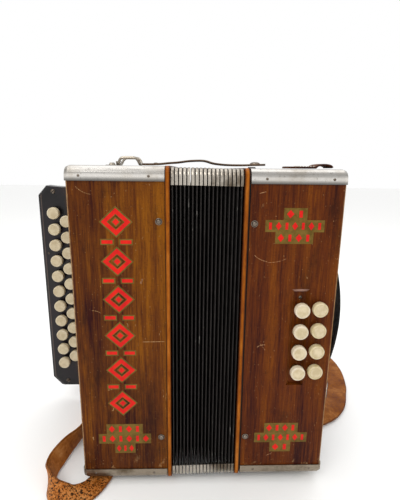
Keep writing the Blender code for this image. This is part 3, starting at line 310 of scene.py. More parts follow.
def wood(name, dark, middle, light, seed, corner, shades=None, extra=None):
    """Old varnished veneer with upright grain. corner is the X of the worn upright edge at the front."""
    paint = Paint(name)
    shift = (seed, seed * 0.7, seed * 1.3)
    ink = tuple(0.22 * v for v in dark[:3])
    fibres = paint.noise(620.0, 5.0, 0.62, paint.stretched((1.0, 1.0, 0.045), shift=shift), 0.5)
    streaks = paint.noise(110.0, 4.0, 0.6, paint.stretched((1.0, 1.0, 0.05), shift=shift), 0.6)
    clouds = paint.noise(19.0, 4.0, 0.55, paint.stretched((1.0, 1.0, 0.5), shift=shift))
    tone = paint.sum(paint.times(fibres, 0.34), paint.times(streaks, 0.36))
    tone = paint.sum(tone, paint.times(clouds, 0.30))
    if shades:
        left, right, gain = shades
        across = paint.span(paint.axis("X"), left + HOME.x, right + HOME.x, -gain, gain)
        tone = paint.sum(tone, across)
    tone = paint.sum(tone, paint.span(paint.axis("Z"), HOME.z, HOME.z + 0.17, -0.030, 0.006))
    colour = paint.ramp(tone, (0.38, dark), (0.50, middle), (0.64, light))
    pores = paint.noise(1900.0, 3.0, 0.7, paint.stretched((1.0, 1.0, 0.05), shift=shift))
    pore_mask = paint.span(pores, 0.55, 0.68)
    colour = paint.mix(paint.times(pore_mask, 0.60), colour, ink)
    flecks = paint.noise(1000.0, 3.0, 0.6, paint.stretched((0.22, 1.0, 1.0), shift=shift))
    colour = paint.mix(paint.times(paint.span(flecks, 0.56, 0.70), 0.26), colour, ink)
    stains = paint.noise(30.0, 6.0, 0.65, paint.stretched((1.0, 1.0, 0.38), shift=(seed + 4, 0, 0)))
    colour = paint.mix(paint.span(stains, 0.50, 0.72, 0.0, 0.70), colour, ink)
    pale = rgb(196, 158, 112)
    slanted = paint.stretched((1.0, 1.0, 0.42), (0, 0.5, 0), (seed * 2, 0, 3))
    marks = paint.span(paint.noise(170.0, 4.0, 0.75, slanted, 1.4), 0.675, 0.71)
    mark_mask = paint.times(marks, paint.span(paint.noise(30.0, 2.0, 0.5), 0.48, 0.60))
    colour = paint.mix(paint.times(mark_mask, 0.7), colour, pale)
    specks = paint.span(paint.noise(820.0, 2.0, 0.5), 0.725, 0.75)
    colour = paint.mix(paint.times(specks, 0.6), colour, pale)
    ragged = paint.noise(230.0, 5.0, 0.75)
    edge = paint.times(paint.near("X", corner, 0.0034), paint.near("Y", FRONT, 0.0042))
    edge = paint.span(paint.sum(edge, paint.times(ragged, 0.7)), 0.80, 1.10)
    colour = paint.mix(paint.times(edge, 0.75), colour, rgb(176, 138, 96))
    scuff = paint.times(
        paint.near("Z", TREBLE_BASE + 0.011, 0.022), paint.span(paint.noise(120.0, 5.0, 0.75), 0.56, 0.66)
    )
    colour = paint.mix(paint.times(scuff, 0.4), colour, pale)
    if extra:
        colour = extra(paint, colour)
    height = paint.sum(paint.times(fibres, 0.5), paint.times(pore_mask, -0.6))
    paint.bump(height, 0.3, 0.0004)
    paint.gloss(0.10)
    rough = paint.span(paint.sum(clouds, paint.times(fibres, 0.4)), 0.4, 1.0, 0.34, 0.62)
    return paint.done(colour, rough)


def metal(name, colour, tarnish, seed, rough, amount, painted_reflection_bands=None, coarse=0.16, spots=0.6):
    """Worn plate: fine rubbing marks, brown freckles and cloudy patches. The optional (height, shade) pairs
    are a painted reflection that brightens and darkens the colour by height.
    """
    paint = Paint(name, metallic=1.0)
    shift = (seed, seed, seed)
    clouds = paint.noise(38.0, 5.0, 0.65, paint.stretched((1.0, 1.0, 1.0), shift=shift))
    rubs = paint.noise(700.0, 3.0, 0.6, paint.stretched((0.06, 1.0, 1.0), shift=shift))
    freckles = paint.span(paint.noise(420.0, 4.0, 0.7), 0.60, 0.70)
    base = paint.mix(paint.span(clouds, 0.42, 0.72, 0.0, amount), colour, tarnish)
    base = paint.mix(paint.times(freckles, spots), base, tuple(0.45 * v for v in tarnish[:3]))
    # Painted reflection: bands of light and dark by height, multiplied into the plate's colour.
    if painted_reflection_bands:
        low, high = painted_reflection_bands[0][0], painted_reflection_bands[-1][0]
        rise = paint.span(paint.axis("Z"), low + HOME.z, high + HOME.z)
        rise = paint.sum(rise, paint.times(paint.sum(clouds, -0.5), 0.16))
        stops = [((z - low) / (high - low), shade) for z, shade in painted_reflection_bands]
        base = paint.mix(1.0, base, paint.ramp(rise, *stops), "MULTIPLY")
    paint.bump(paint.sum(rubs, paint.times(clouds, 1.5)), coarse, 0.0002)
    finish = paint.span(paint.sum(clouds, paint.times(rubs, 0.5)), 0.45, 0.95, *rough)
    return paint.done(base, finish)


def leather(name, dark, middle, light, flecked=False):
    """Strap leather with a fine grain, rubbed high spots and darker cut edges."""
    paint = Paint(name)
    clouds = paint.noise(60.0, 5.0, 0.6)
    mottle = paint.noise(330.0, 4.0, 0.65)
    tone = paint.sum(paint.times(clouds, 0.6), paint.times(mottle, 0.4))
    colour = paint.ramp(tone, (0.38, dark), (0.52, middle), (0.66, light))
    grain = paint.cells(1500.0)
    crease = paint.noise(240.0, 5.0, 0.7, paint.stretched((1.0, 0.35, 1.0)))
    if flecked:
        spots = paint.noise(560.0, 4.0, 0.62, None, 0.6)
        holes = paint.times(paint.span(spots, 0.50, 0.56), paint.own("fleck"))
        pale = paint.times(paint.span(spots, 0.36, 0.44, 1.0, 0.0), paint.own("fleck"))
        colour = paint.mix(paint.times(pale, 0.55), colour, rgb(196, 148, 98))
        colour = paint.mix(paint.times(holes, 0.93), colour, rgb(24, 17, 14))
    cut_edge = paint.span(paint.own("edge"), 0.80, 1.0)
    colour = paint.mix(paint.times(cut_edge, 0.62), colour, tuple(0.4 * v for v in dark[:3]))
    paint.bump(paint.sum(paint.times(grain, 0.6), crease), 0.35, 0.0004)
    paint.gloss(0.14)
    rough = paint.span(mottle, 0.35, 0.7, 0.48, 0.72)
    return paint.done(colour, rough)


def lacquer():
    """Black lacquer over wood, rubbed brown round the keys and cut through along its edges."""
    paint = Paint("black_lacquer")
    clouds = paint.noise(34.0, 5.0, 0.6)
    colour = paint.ramp(clouds, (0.35, rgb(22, 20, 22)), (0.65, rgb(48, 42, 46)))
    rubbed = paint.noise(110.0, 5.0, 0.7, paint.stretched((1.0, 1.0, 0.25)))
    middle = 0.5 * (BOARD_LOW.x + TREBLE_END)
    keyway = paint.near("X", middle + 0.004, 0.016)
    colour = paint.mix(
        paint.times(paint.times(paint.span(rubbed, 0.50, 0.64), keyway), 0.55), colour, rgb(104, 72, 44)
    )
    ragged = paint.times(paint.noise(240.0, 4.0, 0.7), 0.6)
    line = paint.near("X", BOARD_LOW.x + 0.0046, 0.0009)
    line = paint.times(line, paint.near("Y", BOARD_LOW.y, 0.002))
    rim = paint.sum(paint.near("X", BOARD_LOW.x, 0.0016), line, "MAXIMUM")
    rim = paint.span(paint.sum(rim, ragged), 0.75, 1.2)
    colour = paint.mix(paint.times(rim, 0.55), colour, rgb(128, 108, 96))
    specks = paint.span(paint.noise(900.0, 3.0, 0.6), 0.66, 0.72)
    colour = paint.mix(paint.times(specks, 0.5), colour, rgb(120, 110, 104))
    paint.bump(paint.sum(clouds, paint.times(paint.noise(500.0, 3.0, 0.6), 0.3)), 0.12, 0.0004)
    paint.gloss(0.3)
    paint.coat(0.1, 0.2)
    return paint.done(colour, paint.span(clouds, 0.35, 0.7, 0.28, 0.5))


def cream(name, pale, shade, stain=None):
    """Old celluloid: mottled, a little yellow, with a dirty ring in the groove."""
    paint = Paint(name)
    clouds = paint.noise(190.0, 4.0, 0.55)
    colour = paint.ramp(clouds, (0.36, shade), (0.62, pale))
    if stain:
        colour = paint.mix(paint.times(paint.own("dish"), 0.75), colour, stain)
    dirt = paint.times(paint.own("groove"), paint.span(paint.noise(700.0, 4.0, 0.7), 0.30, 0.62, 0.45, 1.0))
    colour = paint.mix(paint.times(dirt, 0.8), colour, rgb(112, 92, 60))
    paint.bump(paint.noise(650.0, 3.0, 0.6), 0.08, 0.0002)
    paint.coat(0.3, 0.15)
    return paint.done(colour, paint.span(clouds, 0.35, 0.7, 0.24, 0.42))


def cloth(name, dark, light, weave=2600.0, wear=0.0):
    """Woven or grained black covering; the ridge attribute is 1 where it rubs."""
    paint = Paint(name)
    fine = paint.cells(weave)
    clouds = paint.noise(90.0, 4.0, 0.6, paint.stretched((1.0, 1.0, 0.25)))
    tone = paint.sum(paint.times(fine, 0.5), paint.times(clouds, 0.6))
    colour = paint.ramp(tone, (0.3, dark), (0.75, light))
    if wear:
        rub = paint.times(paint.own("ridge"), paint.span(paint.noise(160.0, 4.0, 0.7), 0.46, 0.70))
        colour = paint.mix(paint.times(rub, wear), colour, rgb(74, 70, 68))
        nicks = paint.noise(900.0, 3.0, 0.6, paint.stretched((1.0, 1.0, 0.12)))
        patches = paint.span(paint.noise(26.0, 3.0, 0.6), 0.46, 0.60)
        nick_mask = paint.times(paint.times(paint.span(nicks, 0.64, 0.70), patches), paint.own("ridge"))
        colour = paint.mix(paint.times(nick_mask, 0.9), colour, rgb(142, 138, 132))
    paint.bump(fine, 0.3, 0.0003)
    paint.gloss(0.2)
    return paint.done(colour, paint.span(clouds, 0.3, 0.7, 0.5, 0.72))


def edging():
    """Tan covered wood round each end of the bellows, with painted shade along each frame's edges."""
    paint = Paint("tan_edging")
    clouds = paint.noise(48.0, 5.0, 0.6, paint.stretched((1.0, 1.0, 0.5)))
    fibres = paint.noise(600.0, 4.0, 0.6, paint.stretched((1.0, 1.0, 0.15)))
    tone = paint.sum(paint.times(clouds, 0.65), paint.times(fibres, 0.35))
    colour = paint.ramp(tone, (0.38, rgb(126, 68, 26)), (0.52, rgb(160, 92, 38)), (0.66, rgb(186, 116, 54)))
    # Painted shade: each frame is darkened along both its X edges, standing in for its rounded profile
    # turning from the light.
    for node in ("treble_bellows_frame", "bass_bellows_frame"):
        for bound in local_box(node):
            rim = paint.near("X", bound.x, 0.0013)
            colour = paint.mix(paint.times(rim, 0.75), colour, rgb(58, 32, 18))
    grime = paint.span(paint.noise(130.0, 5.0, 0.75, paint.stretched((1.0, 1.0, 0.4))), 0.60, 0.72)
    colour = paint.mix(paint.times(grime, 0.6), colour, rgb(84, 48, 26))
    paint.bump(paint.sum(fibres, paint.times(clouds, 0.5)), 0.25, 0.0003)
    paint.gloss(0.1)
    return paint.done(colour, paint.span(fibres, 0.35, 0.7, 0.38, 0.6))


def enamel(name, colour, shade, worn):
    """Transfer paint on varnish, crazed and chipped a little."""
    paint = Paint(name)
    clouds = paint.noise(150.0, 4.0, 0.6)
    base = paint.ramp(clouds, (0.35, shade), (0.62, colour))
    chips = paint.span(paint.noise(420.0, 5.0, 0.75, paint.stretched((1.0, 1.0, 0.3))), 0.66, 0.71)
    base = paint.mix(paint.times(chips, worn), base, rgb(74, 46, 26))
    paint.bump(paint.noise(800.0, 3.0, 0.6), 0.15, 0.0002)
    paint.gloss(0.2)
    return paint.done(base, paint.span(clouds, 0.3, 0.7, 0.34, 0.52))


def bass_marks(paint, colour):
    """The slot's inside is tinted as cut wood, its wall facing +X gets a painted highlight as the lit side,
    its downward-facing top wall is painted pale, and a few long scratches cross the panel.
    """
    inside = paint.span(paint.axis("Y"), FRONT + HOME.y + 0.0002, FRONT + HOME.y + 0.0006)
    deep = paint.span(paint.axis("Y"), FRONT + HOME.y + 0.0030, FRONT + HOME.y + 0.0032, 1.0, 0.0)
    here = paint.times(paint.times(inside, deep), paint.near("X", BASS_HIGH.x - 0.0312, 0.0140))
    colour = paint.mix(paint.times(here, 0.45), colour, rgb(128, 76, 42))
    # Painted highlight: the slot wall that faces +X is made paler, standing in for light falling on it.
    wall = paint.span(paint.facing("X"), 0.15, 0.45)
    colour = paint.mix(paint.times(paint.times(here, wall), 0.6), colour, rgb(168, 106, 66))
    top = paint.span(paint.facing("Z"), -0.5, -0.2, 1.0, 0.0)
    colour = paint.mix(paint.times(paint.times(here, top), 0.9), colour, rgb(188, 152, 138))
    pale = rgb(206, 160, 116)
    colour = paint.scratch(colour, (0.0400, 0.2290), (0.0520, 0.2230), 0.00030, pale, 0.8, -0.0012)
    colour = paint.scratch(colour, (0.0500, 0.2225), (0.0680, 0.2260), 0.00026, pale, 0.7, -0.0014)
    colour = paint.scratch(colour, (0.0460, 0.1440), (0.0540, 0.1465), 0.00040, pale, 0.9, 0.0010)
    colour = paint.scratch(colour, (0.0480, 0.1490), (0.0540, 0.1410), 0.00026, pale, 0.7)
    colour = paint.scratch(colour, (0.0420, 0.2800), (0.0480, 0.2815), 0.00034, pale, 0.8)
    return paint.scratch(colour, (0.0600, 0.0310), (0.0660, 0.0340), 0.00030, pale, 0.8)


def treble_marks(paint, colour):
    """Long scratches and a rubbed spot on the treble front."""
    pale = rgb(206, 166, 116)
    colour = paint.scratch(colour, (-0.0560, 0.1497), (-0.0350, 0.1500), 0.00034, pale, 0.85)
    colour = paint.scratch(colour, (-0.0555, 0.2030), (-0.0540, 0.2080), 0.00100, rgb(170, 144, 120), 0.6)
    colour = paint.scratch(colour, (-0.0985, 0.1790), (-0.0900, 0.1765), 0.00030, pale, 0.7, 0.0008)
    colour = paint.scratch(colour, (-0.1060, 0.2850), (-0.0930, 0.2780), 0.00026, pale, 0.6, -0.0015)
    return paint.scratch(colour, (-0.0880, 0.1020), (-0.0820, 0.1035), 0.00036, pale, 0.8)


def key_material(name, pale, shade, border):
    """Cream head in front, plain pear wood for the stem, lever, arm and pallet."""
    paint = Paint(name)
    clouds = paint.noise(180.0, 4.0, 0.55)
    head = paint.ramp(clouds, (0.36, shade), (0.62, pale))
    fibres = paint.noise(500.0, 4.0, 0.6, paint.stretched((0.1, 1.0, 1.0)))
    body = paint.ramp(fibres, (0.35, rgb(132, 96, 58)), (0.65, rgb(186, 146, 96)))
    behind = paint.span(paint.axis("Y"), border + HOME.y, border + HOME.y + 0.0004)
    paint.bump(fibres, 0.12, 0.0002)
    rough = paint.span(clouds, 0.3, 0.7, 0.28, 0.5)
    return paint.done(paint.mix(behind, head, body), rough)


# Painted reflection: how bright the curved front of a top cover is painted at each height below the case's
# top.
COVER_PAINTED_REFLECTION = (
    (-0.0137, 0.16), (-0.0121, 0.24), (-0.0105, 0.52), (-0.0086, 1.0), (-0.0062, 1.0),
    (-0.0043, 0.66), (-0.0020, 0.46), (0.0010, 0.80),
)

M = {}


def make_materials():
    M["treble_wood"] = wood(
        "treble_wood", rgb(60, 34, 20), rgb(104, 62, 27), rgb(142, 88, 36), 1.7, TREBLE_LOW.x,
        (TREBLE_LOW.x, TREBLE_HIGH.x, 0.035), treble_marks,
    )
    M["bass_wood"] = wood(
        "bass_wood", rgb(58, 31, 20), rgb(98, 55, 29), rgb(128, 74, 37), 6.1, BASS_HIGH.x, None, bass_marks
    )
    M["end_wood"] = wood("end_wood", rgb(54, 29, 16), rgb(94, 54, 29), rgb(126, 76, 40), 9.4, BASS_HIGH.x)
    for case, top in (("treble", TREBLE_HIGH.z), ("bass", BASS_HIGH.z)):
        # Each top cover gets its own painted reflection, set from its own top.
        shades = tuple((top + below, shade) for below, shade in COVER_PAINTED_REFLECTION)
        title = f"nickel_{case}_top"
        M[title] = metal(title, rgb(232, 228, 222), rgb(184, 174, 160), 0.3, (0.2, 0.4), 0.7, shades)
    M["nickel_base"] = metal("nickel_base", rgb(166, 154, 138), rgb(98, 84, 64), 2.4, (0.26, 0.5), 0.95)
    M["nickel"] = metal("nickel", rgb(196, 192, 186), rgb(140, 126, 108), 4.2, (0.18, 0.4), 0.6)
    M["cap_metal"] = metal("cap_metal", rgb(196, 188, 176), rgb(104, 92, 78), 5.5, (0.24, 0.45), 0.95)
    M["steel"] = metal(
        "steel", rgb(168, 160, 148), rgb(140, 130, 118), 7.7, (0.26, 0.42), 0.5, None, 0.01, 0.15
    )
    M["pin_metal"] = metal("pin_metal", rgb(132, 122, 112), rgb(72, 60, 50), 8.8, (0.2, 0.4), 0.7, None, 0.05)
    M["tan_edging"] = edging()
    M["lacquer"] = lacquer()
    M["cloth"] = cloth("bellows_cloth", rgb(42, 40, 39), rgb(62, 59, 58), 2400.0, 0.38)
    M["gasket"] = cloth("gasket_felt", rgb(14, 12, 11), rgb(30, 26, 24), 1800.0)
    M["cream"] = cream("cream_button", rgb(226, 212, 182), rgb(206, 188, 152))
    M["cream_pale"] = cream("cream_button_pale", rgb(232, 218, 194), rgb(214, 198, 168))
    M["cream_stained"] = cream(
        "cream_button_stained", rgb(222, 206, 168), rgb(196, 178, 132), rgb(186, 164, 108)
    )
    M["strap"] = leather("strap_leather", rgb(112, 62, 26), rgb(146, 88, 44), rgb(176, 116, 66))
    M["strap_flecked"] = leather(
        "strap_leather_flecked", rgb(150, 84, 36), rgb(190, 118, 60), rgb(218, 152, 92), True
    )
    M["top_leather"] = leather("top_leather", rgb(92, 70, 52), rgb(140, 116, 94), rgb(184, 164, 140))
    M["tab_leather"] = leather("tab_leather", rgb(58, 34, 22), rgb(92, 56, 36), rgb(122, 80, 52))
    M["black_leather"] = leather("black_leather", rgb(16, 12, 11), rgb(34, 26, 23), rgb(58, 46, 40))
    M["red"] = enamel("red_enamel", rgb(226, 46, 20), rgb(204, 34, 14), 0.35)
    M["olive"] = enamel("olive_enamel", rgb(122, 98, 48), rgb(98, 78, 36), 0.5)
    M["thread"] = cloth("white_thread", rgb(176, 168, 154), rgb(226, 220, 208), 4200.0)
    M["treble_key"] = key_material("treble_key", rgb(220, 204, 170), rgb(200, 182, 146), 0.0354)
    M["bass_key"] = key_material("bass_key", rgb(220, 204, 170), rgb(196, 178, 140), -0.0868)
    M["reed_wood"] = wood("reed_wood", rgb(120, 88, 50), rgb(168, 128, 80), rgb(198, 160, 108), 3.3, 1.0)
    M["sole"] = cloth("rail_sole", rgb(18, 16, 15), rgb(42, 38, 35), 1500.0)


NODE_PAINT = {
    "treble_case": "treble_wood", "treble_grille": "treble_wood", "bass_case": "bass_wood",
    "bass_end_panel": "end_wood",
    "treble_top_cover": "nickel_treble_top", "bass_top_cover": "nickel_bass_top",
    "treble_bottom_cover": "nickel_base", "bass_bottom_cover": "nickel_base",
    "treble_bellows_frame": "tan_edging", "bass_bellows_frame": "tan_edging", "fingerboard": "lacquer",
    "treble_axle": "steel", "bass_axle": "steel", "treble_reed_block": "reed_wood",
    "bass_reed_block": "reed_wood", "treble_foot_rail": "sole", "bass_foot_rail": "sole",
    "strap_lug_top": "nickel", "strap_lug_bottom": "nickel", "strap_hook": "steel", "wire_ring": "steel",
    "strap_stud": "nickel", "air_button": "cream",
}


def paint_nodes():
    for name, node in NODES.items():
        choice = NODE_PAINT.get(name)
        if "_key_" in name:
            choice = "treble_key" if name.startswith("treble") else "bass_key"
        if choice:
            node.data.materials.clear()
            node.data.materials.append(M[choice])


# Mesh helpers. Shapes are drawn in the closed instrument's coordinates.


def add(name, mesh, paint, body=None, smooth=40):
    mesh.transform(Matrix.Translation(HOME))
    mesh.materials.append(M[paint])
    if smooth:
        mesh.shade_smooth()
        mesh.set_sharp_from_angle(angle=math.radians(smooth))
    piece = bpy.data.objects.new(name, mesh)
    bpy.context.scene.collection.objects.link(piece)
    if body:
        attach(piece, body)
    return piece


def finished(name, bm):
    bmesh.ops.recalc_face_normals(bm, faces=bm.faces)
    mesh = bpy.data.meshes.new(name)
    bm.to_mesh(mesh)
    bm.free()
    return mesh


def add_shape(name, bm, paint, body=None, smooth=40):
    return add(name, finished(name, bm), paint, body, smooth)


def set_numbers(mesh, name, values):
    mesh.attributes.new(name, "FLOAT", "POINT").data.foreach_set("value", values)


def loft(bm, rings, closed_run=False):
    count = len(rings[0])
    pairs = list(zip(rings, rings[1:])) + ([(rings[-1], rings[0])] if closed_run else [])
    for one, two in pairs:
        for k in range(count):
            following = (k + 1) % count
            bm.faces.new((one[k], one[following], two[following], two[k]))
    if not closed_run:
        bm.faces.new(rings[0])
        bm.faces.new(rings[-1])


def lathe(bm, profile, origin, direction, sides):
    """Turns (radius, distance) points about a line. The first and last points sit on the axis."""
    direction = Vector(direction).normalized()
    across = direction.orthogonal().normalized()
    other = direction.cross(across)
    origin = Vector(origin)
    rings = []
    for radius, distance in profile[1:-1]:
        turns = [2 * math.pi * k / sides for k in range(sides)]
        centre = origin + direction * distance
        rings.append([
            bm.verts.new(centre + (across * math.cos(t) + other * math.sin(t)) * radius) for t in turns
        ])
    for one, two in zip(rings, rings[1:]):
        for k in range(sides):
            following = (k + 1) % sides
            bm.faces.new((one[k], one[following], two[following], two[k]))
    for ring, (_, distance) in ((rings[0], profile[0]), (rings[-1], profile[-1])):
        tip = bm.verts.new(origin + direction * distance)
        for k in range(sides):
            bm.faces.new((ring[k], ring[(k + 1) % sides], tip))


def smooth_path(points, steps):
    padded = [points[0], *points, points[-1]]
    made = []
    for i in range(1, len(padded) - 2):
        before, here, after, beyond = (Vector(p) for p in padded[i - 1:i + 3])
        for step in range(steps):
            t = step / steps
            made.append(
                0.5 * (2 * here + (after - before) * t + (2 * before - 5 * here + 4 * after - beyond) * t * t
                       + (3 * here - before - 3 * after + beyond) * t ** 3)
            )
    made.append(Vector(points[-1]))
    return made


def strap_section(width, thickness):
    """Across, through and edge value of each point round a strap's cut, crowned on its outer face."""
    half, deep = width / 2, thickness / 2
    ease = min(deep * 0.7, 0.001)
    crown = deep * 0.12
    shares = (-0.9, -0.6, -0.2, 0.2, 0.6, 0.9)
    points = [(-half, -deep + ease, 1.0), (-half + ease, -deep, 1.0)]
    points += [(half * a, -deep, 0.0) for a in shares]
    points += [(half - ease, -deep, 1.0), (half, -deep + ease, 1.0)]
    points += [(half, deep - ease, 1.0), (half - ease, deep, 1.0)]
    points += [(half * a, deep + crown * (1 - a * a), 0.0) for a in reversed(shares)]
    points += [(-half + ease, deep, 1.0), (-half, deep - ease, 1.0)]
    return points


def strap_mesh(name, route, width, thickness, steps=5, tail=False, fleck=None):
    """A leather strap along a route of (x, y, z, width direction). fleck gives a worn share along it."""
    path = smooth_path(route, steps)
    section = strap_section(width, thickness)
    bm = bmesh.new()
    rings, edges, flecks = [], [], []
    remaining = [0.0] * len(path)
    for i in range(len(path) - 2, -1, -1):
        remaining[i] = remaining[i + 1] + (Vector(path[i + 1][:3]) - Vector(path[i][:3])).length
    for i, point in enumerate(path):
        run = (Vector(path[min(i + 1, len(path) - 1)][:3]) - Vector(path[max(i - 1, 0)][:3])).normalized()
        side = Vector(point[3:])
        side = (side - run * side.dot(run)).normalized()
        normal = run.cross(side)
        narrow = 1.0
        if tail and remaining[i] < width / 2:
            narrow = max(math.sqrt(max(1 - (1 - 2 * remaining[i] / width) ** 2, 0.0)), 0.25)
        rings.append([
            bm.verts.new(Vector(point[:3]) + side * a * narrow + normal * b) for a, b, _ in section
        ])
        share = i / (len(path) - 1)
        edges += [edge for _, _, edge in section]
        flecks += [fleck(share, Vector(point[:3])) if fleck else 0.0] * len(section)
    loft(bm, rings)
    mesh = finished(name, bm)
    set_numbers(mesh, "edge", edges)
    set_numbers(mesh, "fleck", flecks)
    return mesh


def rounded_rectangle(low, high, radius, steps=5):
    points = []
    corners = [(high[0], high[1], 0), (low[0], high[1], 90), (low[0], low[1], 180), (high[0], low[1], 270)]
    for x, y, turn in corners:
        cx = x - radius if x == high[0] else x + radius
        cy = y - radius if y == high[1] else y + radius
        for step in range(steps + 1):
            angle = math.radians(turn + 90 * step / steps)
            points.append((cx + radius * math.cos(angle), cy + radius * math.sin(angle)))
    return points


# Bellows.

FOLDS = 18
FOLD_DEPTH = 0.0185
CORNER_RADIUS = 0.0075
# How far each cap stands out past the fold's outline.
CAP_PROUD = 0.0003
# The way each of a corner's two straight ends runs on from its arc, as (y, z).
CAP_ENDS = (((0, -1), (-1, 0)), ((1, 0), (0, -1)), ((0, 1), (1, 0)), ((-1, 0), (0, 1)))


def blend_along_x(piece):
    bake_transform(piece)


def spread(piece):
    """Bakes the piece's placement into its mesh."""
    blend_along_x(piece)


def fold_outline(share):
    low_1, high_1 = FOLDS_LOW
    low_3, high_3 = FOLDS_HIGH
    base = low_1.z + (low_3.z - low_1.z) * share
    top = high_1.z + (high_3.z - high_1.z) * share
    return (low_1.y, base), (high_1.y, top)


def make_bellows():
    left = FOLDS_LOW[0].x
    pitch = (FOLDS_HIGH[1].x - left) / FOLDS
    wall, ridge = 0.00026, 0.00042
    for i in range(FOLDS):
        a, b = left + i * pitch, left + (i + 1) * pitch
        middle = (a + b) / 2
        low, high = fold_outline((i + 0.5) / FOLDS)
        profile = (
            (a, FOLD_DEPTH, 0.0), (middle - ridge, 0.0005, 1.0), (middle - ridge / 2, 0.00008, 1.0),
            (middle + ridge / 2, 0.00008, 1.0), (middle + ridge, 0.0005, 1.0), (b, FOLD_DEPTH, 0.0),
            (b - wall, FOLD_DEPTH, 0.0), (middle, 0.0022, 0.0), (a + wall, FOLD_DEPTH, 0.0),
        )
        bm = bmesh.new()
        rings, ridges = [], []
        for x, depth, value in profile:
            radius = max(CORNER_RADIUS - depth * 0.35, 0.001)
            ring = rounded_rectangle(
                (low[0] + depth, low[1] + depth), (high[0] - depth, high[1] - depth), radius
            )
            rings.append([bm.verts.new((x, y, z)) for y, z in ring])
            ridges += [value] * len(ring)
        loft(bm, rings, closed_run=True)
        mesh = finished(f"pleat_{i + 1:02d}", bm)
        set_numbers(mesh, "ridge", ridges)
        pleat = add(f"pleat_{i + 1:02d}", mesh, "cloth", smooth=50)
        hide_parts(f"bellows_folds_{min(i // 6 + 1, 3)}")
        spread(pleat)
        make_fold_caps(i, middle, low, high)


def make_fold_caps(i, middle, low, high):
    """Nickel clips over the fold's four corners, all on the fold's ridge."""
    half, straight = 0.00122, 0.0063
    shares = ((-1.0, 0.0030), (-1.0, 0.0004), (-0.6, 0.0), (0.6, 0.0), (1.0, 0.0004), (1.0, 0.0030))
    section = [(half * share, depth) for share, depth in shares]
    centre = Vector(((low[0] + high[0]) / 2, (low[1] + high[1]) / 2))
    outline = rounded_rectangle(low, high, CORNER_RADIUS, 6)
    per_corner = len(outline) // 4
    bm = bmesh.new()
    for corner in range(4):
        arc = [Vector((y, z)) for y, z in outline[corner * per_corner:(corner + 1) * per_corner]]
        before, after = CAP_ENDS[corner]
        line = [arc[0] + Vector(before) * straight, *arc, arc[-1] + Vector(after) * straight]
        rings = []
        for k, point in enumerate(line):
            run = (line[min(k + 1, len(line) - 1)] - line[max(k - 1, 0)]).normalized()
            inward = Vector((-run.y, run.x))
            if inward.dot(centre - point) < 0:
                inward = -inward
            spots = [(middle + x, point + inward * (depth - CAP_PROUD)) for x, depth in section]
            rings.append([bm.verts.new((x, spot.x, spot.y)) for x, spot in spots])
        loft(bm, rings)
    caps = add_shape(f"pleat_caps_{i + 1:02d}", bm, "cap_metal")
    blend_along_x(caps)


def make_gaskets():
    for name, left, right, node, body in (
        ("treble_gasket", TREBLE_HIGH.x, local_box("treble_bellows_frame")[0].x, "treble_case", "treble"),
        ("bass_gasket", local_box("bass_bellows_frame")[1].x, BASS_LOW.x, "bass_case", "bass"),
    ):
        low, high = local_box(node)
        gap = 0.00003
        outer = rounded_rectangle((low.y + 0.0006, low.z + 0.0006), (high.y - 0.0006, high.z - 0.0006), 0.007)
        inner = rounded_rectangle((low.y + 0.006, low.z + 0.006), (high.y - 0.006, high.z - 0.006), 0.004)
        bm = bmesh.new()
        rings = [
            [bm.verts.new((x, y, z)) for y, z in ring]
            for x, ring in (
                (left + gap, outer), (right - gap, outer), (right - gap, inner), (left + gap, inner),
            )
        ]
        loft(bm, rings, closed_run=True)
        add_shape(name, bm, "gasket", body, 30)


# Buttons.

BUTTON_RIM = 0.0007


def button_mesh(name, centre, radius, deep):
    """A turned button top with an eased rim, a ring groove and a shallow dish, facing -Y."""
    out = 0.00012
    profile = (
        (0.0, -deep), (radius + out, -deep), (radius + out, -0.0007), (radius * 0.965, -0.00012),
        (radius * 0.90, out), (radius * 0.83, out), (radius * 0.795, -0.00018), (radius * 0.76, out * 0.3),
        (radius * 0.55, -0.0002), (radius * 0.28, -0.0003), (0.0, -0.00032),
    )
    sides = 36
    bm = bmesh.new()
    lathe(bm, profile, (centre[0], centre[1], centre[2]), (0, -1, 0), sides)
    mesh = finished(name, bm)
    grooves, dishes = [], []
    for vertex in mesh.vertices:
        away = math.hypot(vertex.co.x - centre[0], vertex.co.z - centre[2]) / radius
        grooves.append(1.0 if abs(away - 0.795) < 0.02 else 0.0)
        dishes.append(1.0 if away < 0.78 else 0.0)
    set_numbers(mesh, "groove", grooves)
    set_numbers(mesh, "dish", dishes)
    return mesh


def button_face(name, treble):
    """Centre and radius of a key's flat button face, from the key's own mesh."""
    node = NODES[name]
    spots = [node.matrix_world @ vertex.co - HOME for vertex in node.data.vertices]
    end = min(spot.x for spot in spots) if treble else max(spot.x for spot in spots)
    head = [spot for spot in spots if abs(spot.x - end) < 0.0125]
    front = min(spot.y for spot in head)
    rim = [spot for spot in head if spot.y < front + 0.00005]
    across = [spot.x for spot in rim]
    up = [spot.z for spot in rim]
    centre = ((min(across) + max(across)) / 2, front, (min(up) + max(up)) / 2)
    return centre, (max(up) - min(up)) / 2 + BUTTON_RIM


def make_buttons():
    for name in sorted(NODES):
        if "_key_" not in name:
            continue
        treble = name.startswith("treble")
        tip, radius = button_face(name, treble)
        if name.startswith("bass_key_outer"):
            choice = "cream_stained"
        else:
            choice = "cream_pale" if not treble else "cream"
        title = name.replace("_key_", "_button_")
        add(title, button_mesh(title, tip, radius, 0.0042), choice, name, 35)


# Painted ornaments.


GROUND_FACE, FIGURE_FACE, TRANSFER = FRONT - 0.00003, FRONT - 0.0001, 0.00006


